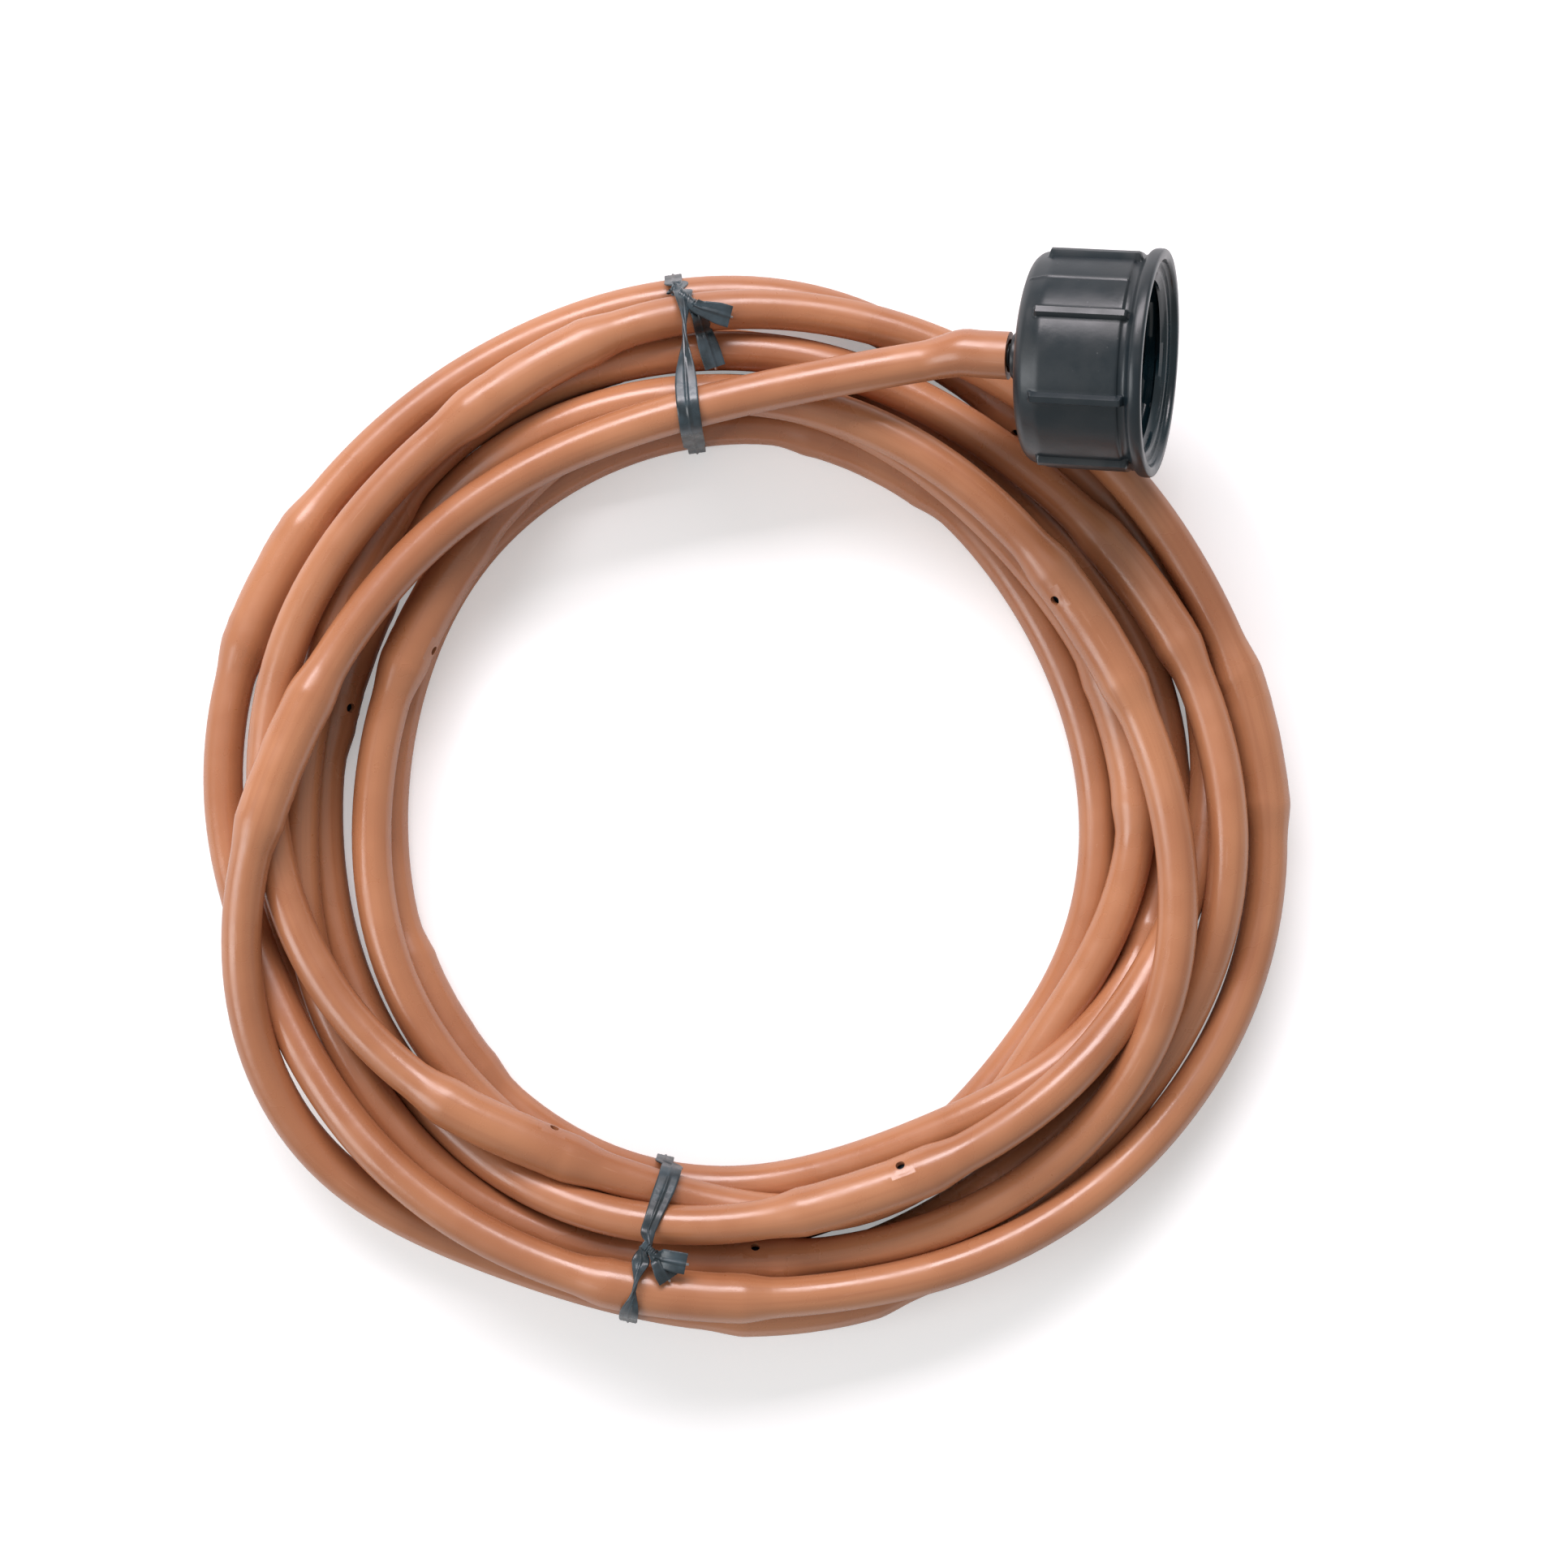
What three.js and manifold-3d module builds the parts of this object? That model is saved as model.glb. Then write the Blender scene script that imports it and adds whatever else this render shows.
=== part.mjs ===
// Coiled drip-line soaker hose: one length of 6.35 mm hose with in-line emitters,
// wound into a loose coil, tied in two places, with a swivel nut for a garden tap
// at one end and a plug at the other. Millimetres, +Z up, resting on z = 0.

import * as THREE from 'three';
import { mergeVertices } from 'three/addons/utils/BufferGeometryUtils.js';
import Module from 'manifold-3d';

const wasm = await Module();
wasm.setup();

// ---------------------------------------------------------------- dimensions

const HOSE_RADIUS = 3.175;
const HOSE_WALL = 1.075;
const BORE_RADIUS = HOSE_RADIUS - HOSE_WALL;
const HOSE_SIDES = 6;
const BORE_SIDES = 6;
const HOSE_STEP = 20;                // most length between two rings of the tube
const MOST_TURN = 15;                // and most turn, in degrees
const SHORTEST_STEP = 3;
const FLAT_DEPTH = 0.6;              // how deep the hose is flattened where it lies

const EMITTER_PITCH = 152.4;         // 6 in between emitters
const FIRST_EMITTER = 137;           // from the tap end to the first emitter's middle
const LAST_CLEAR = 20;               // no emitter this close to the plugged end
const EMITTER_LENGTH = 25;
const EMITTER_TAPER = 2.5;           // the hose swells over this length at each end
const EMITTER_BORE = 1.5;
const EMITTER_WALL = 1.25;
const EMITTER_RADIUS = EMITTER_BORE + EMITTER_WALL;
const EMITTER_FIT = 0.35;            // between the emitter and the faceted bore
const SWELL_BORE = EMITTER_RADIUS + EMITTER_FIT;
const SWELL_WALL = 0.9;
const SWELL_RADIUS = SWELL_BORE + SWELL_WALL;
const EMITTER_SHORTER = 1.0;         // room left at each end of the emitter
const OUTLET_RADIUS = 0.75;
const OUTLET_OFFSET = 6.5;           // from the emitter's middle, away from the tap
const OUTLET_LEAN = 40;              // degrees from straight up, to the coil's inside

const WATERWAY = 1.0;                // radius of the way through the tailpiece
const BARB_WALL = 0.55;
const BARB_STEP = 0.35;              // how far a barb stands out
const BARB_FIT = 0.7;                // between the barbs and the faceted bore
const BARB_ROOT = WATERWAY + BARB_WALL;
const BARB_CREST = BARB_ROOT + BARB_STEP;
const BARB_LENGTH = 8;
const BARB_CLEAR = 1;                // the hose is stretched this far past the barb's tip
const BARB_GRIP = BARB_LENGTH + BARB_CLEAR;
const GRIP_TAPER = 2;
const END_STRAIGHT = BARB_GRIP + GRIP_TAPER;
const GRIP_BORE = BARB_CREST + BARB_FIT;
const GRIP_WALL = 1.1;
const GRIP_RADIUS = GRIP_BORE + GRIP_WALL;
const TOUCH_GAP = 0.3;

// The lay of the coil: the lane's radius every 20 degrees, one row a turn, and
// the layer that the hose lies in there, counted up from the ground.
const CHART_START = 60;
const CHART_STEP = 20;
const CHART_SPARE = 5;               // the coil ends this many degrees short of the chart
const LANES = [
  [79.5, 67.2, 62.4, 62.8, 65.4, 68.8, 75.3, 84.9, 89.0, 82.6, 81.2, 81.9, 80.3, 78.1, 78.7],
  [76.6, 74.4, 71.0, 70.2, 72.5, 73.4, 74.6, 74.2, 71.4,
   71.4, 74.4, 75.9, 76.7, 73.3, 73.4, 75.4, 75.4, 72.2],
  [67.3, 62.8, 61.3, 62.4, 64.5, 66.2, 67.7, 69.3, 68.6,
   68.7, 69.8, 70.5, 69.7, 67.8, 64.4, 64.7, 66.7, 70.7],
  [74.6, 77.1, 77.1, 76.9, 82.3, 82.8, 83.0, 84.0, 85.2,
   84.7, 80.9, 80.6, 79.6, 78.0, 78.3, 81.7, 84.1, 85.7],
  [84.0, 81.1, 80.4, 79.9, 79.5, 78.7, 75.7, 75.5, 77.0,
   76.2, 73.3, 68.4, 62.6, 63.0, 67.2, 66.4, 60.6, 62.3],
  [63.7, 61.6, 59.8, 61.4, 64.9, 67.3, 64.0, 60.2, 59.6,
   59.8, 62.1, 63.5, 64.8, 68.7, 67.6, 62.7, 60.1, 59.3],
  [57.5, 56.5, 57.0, 60.1, 62.1, 61.7, 61.7, 60.4, 58.4,
   58.0, 59.7, 61.2, 62.8, 63.5, 60.6, 59.8, 64.8, 68.9],
  [69.4, 69.5, 67.9, 68.8, 72.5, 75.2, 75.5, 76.4, 77.5,
   76.8, 77.7, 76.8, 75.7, 75.8, 76.1, 73.1, 73.8, 75.0],
].flat();
const LAYERS = [
  [3.3, 2.8, 2.6, 2.6, 2.8, 3.2, 2.8, 1.5, 0.3, 0, 0, 0, 0, 0, 0.5],
  [1, 1, 1, 1.4, 1.4, 1.2, 1.2, 1.2, 1.2, 1.2, 1.2, 1.2, 1.2, 1.2, 1.5, 2.5, 3.2, 3.4],
  [3.6, 3, 3, 2.6, 1.8, 1.8, 1.7, 0.9, 0, 0, 0, 1.3, 2, 3.6, 4, 3.5, 2.2, 1],
  [0, 0, 0, 0, 0, 0, 0, 0, 0, 0, 1.2, 2, 2.6, 3, 2.6, 1.6, 0.5, 0],
  [0.2, 0.6, 1.4, 2, 2, 2, 2.4, 2.3, 2.2, 2, 3, 3, 3, 2.5, 1.8, 1.2, 1, 1],
  [1, 1, 1, 1, 0.7, 0.2, 0.4, 1, 1, 1, 1, 1.2, 1.4, 1, 0.5, 0, 0, 0],
  [0, 0, 0, 0, 0, 0, 0, 0, 0, 0, 0, 0, 0, 0, 0.6, 2, 2, 0.5],
  [0, 0, 0, 0, 0, 0, 0, 0, 0, 0, 0, 0, 0, 0, 0, 0, 0, 0],
].flat();

// How the coil settles: points every 3 mm sink, keep to their lanes, resist
// bending and are pushed apart until no two turns come closer than the gap.
const POINT_STEP = 3;
const TURN_GAP = 1.3;
const SAME_STRETCH = 22;             // points this near along the hose are one stretch
const NEAR = 14;
const LAYER_HEIGHT = 7.2;
const PASSES = 500;
const EASING_PASSES = 200;           // over the last of them all but the pushing fades
const LED_LENGTH = 60;               // from the tap end the hose keeps its planned height
const SINK = 0.12;
const HOLD = 0.25;
const SIDE_SHARE = 0.12;             // how much of a push goes sideways
const PUSH = 1.2;
const STRAIGHTEN = 0.8;              // an emitter's share of the way to a straight line
const PUSHES = 5;                    // in each pass
const TIE_ROOM = 1.2;                // the ties lift the lowest turns by this much
const TIE_REACH = 12;

// The tap end: where the hose starts, and the axis of the nut.
const TAP_END = new THREE.Vector3(42.3, 69.2, 30);
const NUT_PITCH = 15;
const NUT_HEADING = -5;

const THREAD_ROOT = 13.4;            // 3/4 in garden-hose thread: 26.8 mm over the roots
const THREAD_DEPTH = 0.9;
const THREAD_CREST = THREAD_ROOT - THREAD_DEPTH;
const THREAD_PITCH = 2.21;
const THREAD_TURNS = 3.5;
const THREAD_IN = 2.2;               // from the nut's mouth to the thread
const NUT_LENGTH = 20;
const NUT_WALL = 2.9;
const NUT_RADIUS = THREAD_ROOT + NUT_WALL;
const PANEL_HEIGHT = 0.4;            // how far the panels between the ribs stand out
const PANEL_START = 3.6;
const PANEL_END = 16.2;              // a groove runs from here to the rim
const NUT_RIBS = 8;
const NUT_ROLL = 23.4;               // degrees that the ribs are turned about the axis
const RIB_HEIGHT = 0.9;              // over the panels
const RIB_WIDTH = 1.5;
const RIB_START = 3.4;
const RIB_END = 16.9;
const RIM_FLARE = 1.1;
const RIM_RADIUS = NUT_RADIUS + RIM_FLARE;
const RIM_LENGTH = 2.6;
const NUT_BACK = 3.0;                // thickness of the nut's back wall
const NUT_SIDES = 40;

const NECK_RADIUS = 4.7;
const NECK_CLEARANCE = 0.5;
const NUT_NECK_HOLE = NECK_RADIUS + NECK_CLEARANCE;
const FLANGE_CLEARANCE = 0.5;        // under the thread's crest
const FLANGE_RADIUS = THREAD_CREST - FLANGE_CLEARANCE;
const FLANGE_THICK = 2.0;
const COLLAR_RADIUS = 3.5;
const COLLAR_LENGTH = 1.4;

const WASHER_CLEARANCE = 0.3;
const WASHER_OUTER = THREAD_CREST - WASHER_CLEARANCE;
const WASHER_WIDTH = 4;
const WASHER_INNER = WASHER_OUTER - WASHER_WIDTH;
const WASHER_THICK = 2.4;
const SCREEN_CLEARANCE = 0.5;
const SCREEN_RADIUS = WASHER_INNER - SCREEN_CLEARANCE;
const SCREEN_THICK = 0.8;
const SCREEN_LIFT = 0.6;             // above the washer's seat
const SCREEN_HOLES = 12;
const SCREEN_HOLE_RADIUS = 0.8;

const PLUG_LIFT = 0.075;             // of the plug's head over the ground
const PLUG_HEAD_RADIUS = HOSE_RADIUS - FLAT_DEPTH - PLUG_LIFT;
const PLUG_HEAD_LENGTH = 4;
const PLUG_CHAMFER = 0.6;
const PLUG_STEM_LENGTH = 10;
const PLUG_FIT = 0.6;                // between the stem's barb and the faceted bore
const PLUG_BARB = BORE_RADIUS - PLUG_FIT;
const PLUG_BARB_STEP = 0.3;

const TIE_THICKNESS = 0.5;
const TIE_WIDTH = 4.5;
const TIE_CLEARANCE = 0.6;
const TIE_SIDES = 24;
const KNOT_WIDTH = 3.6;
const KNOT_HEIGHT = 3.4;
const TIES = [
  {
    name: 'twist_tie_top', angle: 97.8, knot: 82.6,
    tails: [{ radial: -6.0, along: 9.0 }, { radial: -13.5, along: 5.5 }],
  },
  {
    name: 'twist_tie_bottom', angle: 257.2, knot: 70.6,
    tails: [{ radial: 0.5, along: -6.5 }, { radial: 3.8, along: -5.0 }],
  },
];

// ----------------------------------------------------------------- materials

const brown = { color: 0xb97a55, roughness: 0.42, metalness: 0 };
const black = { color: 0x2b2d2e, roughness: 0.4, metalness: 0 };
const rubber = { color: 0x1a1a1a, roughness: 0.85, metalness: 0 };
const inner = { color: 0x23292c, roughness: 0.5, metalness: 0 };
const ribbon = { color: 0x3c4243, roughness: 0.35, metalness: 0 };

// -------------------------------------------------------------------- solids

function toSolid(geometry) {
  const bare = geometry.clone();
  bare.deleteAttribute('normal');
  bare.deleteAttribute('uv');
  const merged = mergeVertices(bare, 1e-4);
  return new wasm.Manifold(new wasm.Mesh({
    numProp: 3,
    vertProperties: new Float32Array(merged.attributes.position.array),
    triVerts: new Uint32Array(merged.index.array),
  }));
}

function toGeometry(solid) {
  const mesh = solid.getMesh();
  const geometry = new THREE.BufferGeometry();
  geometry.setAttribute('position', new THREE.BufferAttribute(mesh.vertProperties, 3));
  geometry.setIndex(new THREE.BufferAttribute(mesh.triVerts, 1));
  return geometry;
}

function part(name, geometry, look) {
  geometry.computeVertexNormals();
  const mesh = new THREE.Mesh(geometry, new THREE.MeshStandardMaterial(look));
  mesh.name = name;
  return mesh;
}

// A lathe whose profile is [radius, height] pairs, turned about +Z.
function turned(profile, sides) {
  const points = profile.map(([radius, height]) => new THREE.Vector2(radius, height));
  return new THREE.LatheGeometry(points, sides).rotateX(Math.PI / 2);
}

// A closed skin through rings of equal size, capped at both ends.
function skin(rings) {
  const sides = rings[0].length;
  const positions = rings.flat().flatMap((p) => [p.x, p.y, p.z]);
  const faces = [];
  for (let r = 0; r < rings.length - 1; r++) {
    for (let s = 0; s < sides; s++) {
      const a = r * sides + s;
      const b = r * sides + (s + 1) % sides;
      faces.push(a, b, a + sides, b, b + sides, a + sides);
    }
  }
  const last = (rings.length - 1) * sides;
  for (let s = 1; s < sides - 1; s++) {
    faces.push(0, s + 1, s);
    faces.push(last, last + s, last + s + 1);
  }
  const geometry = new THREE.BufferGeometry();
  geometry.setAttribute('position', new THREE.Float32BufferAttribute(positions, 3));
  geometry.setIndex(faces);
  return geometry;
}

// ------------------------------------------------------------- the coil's lay

// A smooth curve through evenly spaced values, read at a fractional index.
function smooth(values, at) {
  const last = values.length - 1;
  const i = Math.min(Math.floor(at), last - 1);
  const slope = (k) => {
    const before = Math.max(k - 1, 0);
    const after = Math.min(k + 1, last);
    return (values[after] - values[before]) / (after - before);
  };
  const t = at - i;
  const t2 = t * t;
  const t3 = t2 * t;
  return (2 * t3 - 3 * t2 + 1) * values[i] + (t3 - 2 * t2 + t) * slope(i)
    + (3 * t2 - 2 * t3) * values[i + 1] + (t3 - t2) * slope(i + 1);
}

function straight(values, at) {
  const i = Math.min(Math.floor(at), values.length - 2);
  return values[i] + (values[i + 1] - values[i]) * (at - i);
}

const nutAxis = new THREE.Vector3(1, 0, 0)
  .applyAxisAngle(new THREE.Vector3(0, -1, 0), THREE.MathUtils.degToRad(NUT_PITCH))
  .applyAxisAngle(new THREE.Vector3(0, 0, 1), THREE.MathUtils.degToRad(NUT_HEADING));

// The planned lay, flat turns lifted to their layers, as points 3 mm apart.
function plannedLay() {
  const end = CHART_START + CHART_STEP * (LANES.length - 1) - CHART_SPARE;
  const fine = [];
  const far = [0];
  for (let degrees = CHART_START; degrees <= end; degrees += 0.5) {
    const at = (degrees - CHART_START) / CHART_STEP;
    const angle = THREE.MathUtils.degToRad(degrees);
    const lane = smooth(LANES, at);
    fine.push([lane * Math.cos(angle), lane * Math.sin(angle), straight(LAYERS, at)]);
  }
  for (let k = 1; k < fine.length; k++) {
    far.push(far[k - 1] + Math.hypot(fine[k][0] - fine[k - 1][0], fine[k][1] - fine[k - 1][1]));
  }
  const count = Math.round(far.at(-1) / POINT_STEP);
  const lay = [];
  let k = 0;
  for (let i = 0; i <= count; i++) {
    const along = (far.at(-1) * i) / count;
    while (k < far.length - 2 && far[k + 1] < along) k += 1;
    const t = (along - far[k]) / (far[k + 1] - far[k]);
    const [x, y, layer] = fine[k].map((v, axis) => v + (fine[k + 1][axis] - v) * t);
    const point = new THREE.Vector3(x, y, HOSE_RADIUS + layer * LAYER_HEIGHT);
    lay.push(along < END_STRAIGHT ? TAP_END.clone().addScaledVector(nutAxis, -along) : point);
  }
  return { lay, spacing: far.at(-1) / count };
}

function emitterPlaces(length) {
  const places = [];
  for (let at = FIRST_EMITTER; at < length - LAST_CLEAR; at += EMITTER_PITCH) places.push(at);
  return places;
}

function nearTie(point) {
  return TIES.some(({ angle }) => {
    const a = THREE.MathUtils.degToRad(angle);
    const across = point.x * Math.sin(a) - point.y * Math.cos(a);
    const outward = point.x * Math.cos(a) + point.y * Math.sin(a);
    return Math.abs(across) < TIE_REACH && outward > 0;
  });
}

// Bending stiffness: a point is drawn to the smooth curve of its neighbours.
function stiffen(points, reach, rate) {
  const old = points.map((p) => p.clone());
  for (let i = 2 * reach; i < points.length - 2 * reach; i++) {
    const bend = old[i].clone().multiplyScalar(-6)
      .addScaledVector(old[i - reach], 4)
      .addScaledVector(old[i + reach], 4)
      .sub(old[i - 2 * reach])
      .sub(old[i + 2 * reach]);
    points[i].addScaledVector(bend, rate / 16);
  }
}

function levelOut(points, reach, rate) {
  const old = points.map((p) => p.z);
  for (let i = reach; i < points.length - reach; i++) {
    points[i].z += rate * ((old[i - reach] + old[i + reach]) / 2 - old[i]);
  }
}

// The emitters are stiff: each is drawn to the line through its two halves' middles.
function straightenEmitters(points, stretches) {
  const middleOf = (from, to) => {
    const sum = new THREE.Vector3();
    for (let i = from; i <= to; i++) sum.add(points[i]);
    return sum.divideScalar(to - from + 1);
  };
  for (const [first, last] of stretches) {
    const half = Math.floor((last - first) / 2);
    const a = middleOf(first, first + half);
    const b = middleOf(last - half, last);
    for (let i = first; i <= last; i++) {
      const line = a.clone().lerp(b, (i - first - half / 2) / (last - first - half));
      points[i].lerp(line, STRAIGHTEN);
    }
  }
}

function nearPairs(points, spacing) {
  const apart = Math.floor(SAME_STRETCH / spacing) + 1;
  const pairs = [];
  for (let i = 0; i < points.length; i++) {
    for (let j = i + apart; j < points.length; j++) {
      const x = points[j].x - points[i].x;
      const y = points[j].y - points[i].y;
      if (x * x + y * y < NEAR * NEAR) pairs.push([i, j]);
    }
  }
  return pairs;
}

function pushApart(points, pairs, radii, floors) {
  const shift = points.map(() => new THREE.Vector3());
  const count = new Array(points.length).fill(0);
  const way = new THREE.Vector3();
  for (const [i, j] of pairs) {
    way.subVectors(points[j], points[i]);
    const distance = way.length();
    const short = radii[i] + radii[j] + TURN_GAP - distance;
    if (short <= 0) continue;
    way.multiplyScalar(short / 2 / distance);
    shift[j].add(way);
    shift[i].sub(way);
    count[i] += 1;
    count[j] += 1;
  }
  points.forEach((point, i) => {
    const share = PUSH / Math.max(count[i], 1);
    point.x += shift[i].x * share * SIDE_SHARE;
    point.y += shift[i].y * share * SIDE_SHARE;
    point.z = Math.max(point.z + shift[i].z * share, floors[i]);
  });
}

// The coil at rest, as points along the middle of the hose.
function settledLay() {
  const { lay, spacing } = plannedLay();
  const length = spacing * (lay.length - 1);
  const places = emitterPlaces(length);
  const half = EMITTER_LENGTH / 2 + 1;
  const swells = (i) => places.some((at) => Math.abs(i * spacing - at) <= half);
  const radii = lay.map((_, i) => (swells(i) ? SWELL_RADIUS : HOSE_RADIUS));
  const floors = lay.map((p, i) => radii[i] - FLAT_DEPTH + (nearTie(p) ? TIE_ROOM : 0));
  const stretches = places.map((at) => [
    Math.ceil((at - half) / spacing),
    Math.floor((at + half) / spacing),
  ]);
  const points = lay.map((p) => p.clone());
  let pairs = [];
  for (let pass = 0; pass < PASSES; pass++) {
    if (pass % 20 === 0) pairs = nearPairs(points, spacing);
    const ease = Math.min(1, (PASSES - pass) / EASING_PASSES);
    points.forEach((p, i) => {
      const led = i * spacing < LED_LENGTH;
      p.z += led ? HOLD * ease * (lay[i].z - p.z) : -SINK * ease;
      p.x += HOLD * ease * (lay[i].x - p.x);
      p.y += HOLD * ease * (lay[i].y - p.y);
    });
    stiffen(points, 1, 0.5 * ease);
    stiffen(points, 3, 0.35 * ease);
    stiffen(points, 6, 0.35 * ease);
    levelOut(points, 6, 0.25 * ease);
    straightenEmitters(points, stretches);
    for (let k = 0; k < PUSHES; k++) pushApart(points, pairs, radii, floors);
    for (let i = 0; i * spacing < END_STRAIGHT; i++) points[i].copy(lay[i]);
  }
  return { points, spacing, length, places };
}

const lay = settledLay();

// ---------------------------------------------------------------- the hose

function pointAt(along) {
  const at = THREE.MathUtils.clamp(along / lay.spacing, 0, lay.points.length - 1);
  const i = Math.min(Math.floor(at), lay.points.length - 2);
  return lay.points[i].clone().lerp(lay.points[i + 1], at - i);
}

// How far the hose turns at one of the lay's points, in degrees.
function turnAt(i) {
  const before = lay.points[i].clone().sub(lay.points[i - 1]);
  const after = lay.points[i + 1].clone().sub(lay.points[i]);
  return THREE.MathUtils.radToDeg(before.angleTo(after));
}

// Stations of the tube: distance along it, outer radius and bore radius.
function stations() {
  const list = [
    { along: 0, outer: GRIP_RADIUS, bore: GRIP_BORE },
    { along: BARB_GRIP, outer: GRIP_RADIUS, bore: GRIP_BORE },
    { along: END_STRAIGHT, outer: HOSE_RADIUS, bore: BORE_RADIUS },
  ];
  const runTo = (end) => {
    let last = list.at(-1).along;
    let turn = 0;
    for (let i = Math.ceil(last / lay.spacing); i * lay.spacing < end - SHORTEST_STEP; i++) {
      turn += turnAt(i);
      if (turn < MOST_TURN && i * lay.spacing - last < HOSE_STEP) continue;
      last = i * lay.spacing;
      turn = 0;
      list.push({ along: last, outer: HOSE_RADIUS, bore: BORE_RADIUS });
    }
    list.push({ along: end, outer: HOSE_RADIUS, bore: BORE_RADIUS });
  };
  for (const at of lay.places) {
    runTo(at - EMITTER_LENGTH / 2 - EMITTER_TAPER);
    list.push({ along: at - EMITTER_LENGTH / 2, outer: SWELL_RADIUS, bore: SWELL_BORE });
    list.push({ along: at + EMITTER_LENGTH / 2, outer: SWELL_RADIUS, bore: SWELL_BORE });
    const after = at + EMITTER_LENGTH / 2 + EMITTER_TAPER;
    list.push({ along: after, outer: HOSE_RADIUS, bore: BORE_RADIUS });
  }
  runTo(lay.length - 2 * HOSE_RADIUS);
  list.push({ along: lay.length, outer: HOSE_RADIUS, bore: BORE_RADIUS });
  return list.map((station) => ({ ...station, centre: pointAt(station.along) }));
}

// Unit vectors across the tube at a station: to the coil's outside, and up.
function frameOf(tangent) {
  const side = new THREE.Vector3().crossVectors(tangent, new THREE.Vector3(0, 0, 1)).normalize();
  const up = new THREE.Vector3().crossVectors(side, tangent).normalize();
  return { side, up };
}

function ring(centre, tangent, radius, sides, floor) {
  const { side, up } = frameOf(tangent);
  const points = [];
  for (let s = 0; s < sides; s++) {
    const a = (2 * Math.PI * (s + 0.5)) / sides - Math.PI / 2;
    const p = centre.clone()
      .addScaledVector(side, radius * Math.cos(a))
      .addScaledVector(up, radius * Math.sin(a));
    p.z = Math.max(p.z, floor);
    points.push(p);
  }
  return points.reverse();
}

const hoseStations = stations();

function tangentAt(k) {
  const before = hoseStations[Math.max(k - 1, 0)].centre;
  const after = hoseStations[Math.min(k + 1, hoseStations.length - 1)].centre;
  return after.clone().sub(before).normalize();
}

hoseStations.forEach((station, k) => {
  station.tangent = tangentAt(k);
});
hoseStations[0].tangent = nutAxis.clone().negate();
hoseStations[1].tangent = nutAxis.clone().negate();

function emitterStations() {
  return hoseStations.flatMap((station, k) => {
    const next = hoseStations[k + 1];
    return station.outer === SWELL_RADIUS && next.outer === SWELL_RADIUS ? [[station, next]] : [];
  });
}

function outletTool(start, end) {
  const along = end.centre.clone().sub(start.centre).normalize();
  const { side, up } = frameOf(along);
  const lean = THREE.MathUtils.degToRad(OUTLET_LEAN);
  const out = up.clone().multiplyScalar(Math.cos(lean)).addScaledVector(side, -Math.sin(lean));
  const from = start.centre.clone().addScaledVector(along, EMITTER_LENGTH / 2 + OUTLET_OFFSET);
  const reach = SWELL_RADIUS - EMITTER_BORE;
  const tool = new THREE.CylinderGeometry(OUTLET_RADIUS, OUTLET_RADIUS, reach, 6);
  tool.applyQuaternion(new THREE.Quaternion().setFromUnitVectors(new THREE.Vector3(0, 1, 0), out));
  const middle = from.addScaledVector(out, EMITTER_BORE + 1 + reach / 2);
  return toSolid(tool.translate(middle.x, middle.y, middle.z));
}

function hose() {
  const outside = hoseStations.map((s) => ring(s.centre, s.tangent, s.outer, HOSE_SIDES, 0));
  const inside = hoseStations.map((s) => ring(s.centre, s.tangent, s.bore, BORE_SIDES, 0));
  const first = hoseStations[0];
  const last = hoseStations.at(-1);
  const past = (station, by) => station.centre.clone().addScaledVector(station.tangent, by);
  inside.unshift(ring(past(first, -1), first.tangent, first.bore, BORE_SIDES, 0));
  inside.push(ring(past(last, 1), last.tangent, last.bore, BORE_SIDES, 0));
  let solid = toSolid(skin(outside)).subtract(toSolid(skin(inside)));
  for (const [start, end] of emitterStations()) solid = solid.subtract(outletTool(start, end));
  return part('hose', toGeometry(solid), brown);
}

function emitter(start, end, number) {
  const along = end.centre.clone().sub(start.centre);
  const room = EMITTER_SHORTER / along.length();
  along.normalize();
  const from = start.centre.clone().lerp(end.centre, room);
  const to = start.centre.clone().lerp(end.centre, 1 - room);
  const body = skin([from, to].map((p) => ring(p, along, EMITTER_RADIUS, BORE_SIDES, 0)));
  const ends = [from.clone().addScaledVector(along, -1), to.clone().addScaledVector(along, 1)];
  const waterway = skin(ends.map((p) => ring(p, along, EMITTER_BORE, BORE_SIDES, 0)));
  const solid = toSolid(body).subtract(toSolid(waterway));
  return part(`emitter_${String(number).padStart(2, '0')}`, toGeometry(solid), inner);
}

// The least gap between two turns, measured on points 1 mm apart along the tube.
function leastGap() {
  const points = [];
  for (let k = 0; k < hoseStations.length - 1; k++) {
    const a = hoseStations[k];
    const b = hoseStations[k + 1];
    const steps = Math.ceil(b.along - a.along);
    for (let s = 0; s < steps; s++) {
      const t = s / steps;
      points.push({
        centre: a.centre.clone().lerp(b.centre, t),
        radius: THREE.MathUtils.lerp(a.outer, b.outer, t),
        along: THREE.MathUtils.lerp(a.along, b.along, t),
      });
    }
  }
  let least = Infinity;
  for (let i = 0; i < points.length; i++) {
    for (let j = i + 1; j < points.length; j++) {
      if (points[j].along - points[i].along < SAME_STRETCH) continue;
      const gap = points[i].centre.distanceTo(points[j].centre) - points[i].radius - points[j].radius;
      least = Math.min(least, gap);
    }
  }
  return least;
}

// ---------------------------------------------------------------- tap fitting

// Everything on the nut's axis is turned about +Z with z = 0 at the nut's back
// and +Z to the mouth, then laid along the axis.
const NUT_ORIGIN = TAP_END.clone().addScaledVector(nutAxis, 2 * TOUCH_GAP + COLLAR_LENGTH);

function onNutAxis(mesh) {
  mesh.quaternion.setFromUnitVectors(new THREE.Vector3(0, 0, 1), nutAxis);
  mesh.position.copy(NUT_ORIGIN);
  return mesh;
}

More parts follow.
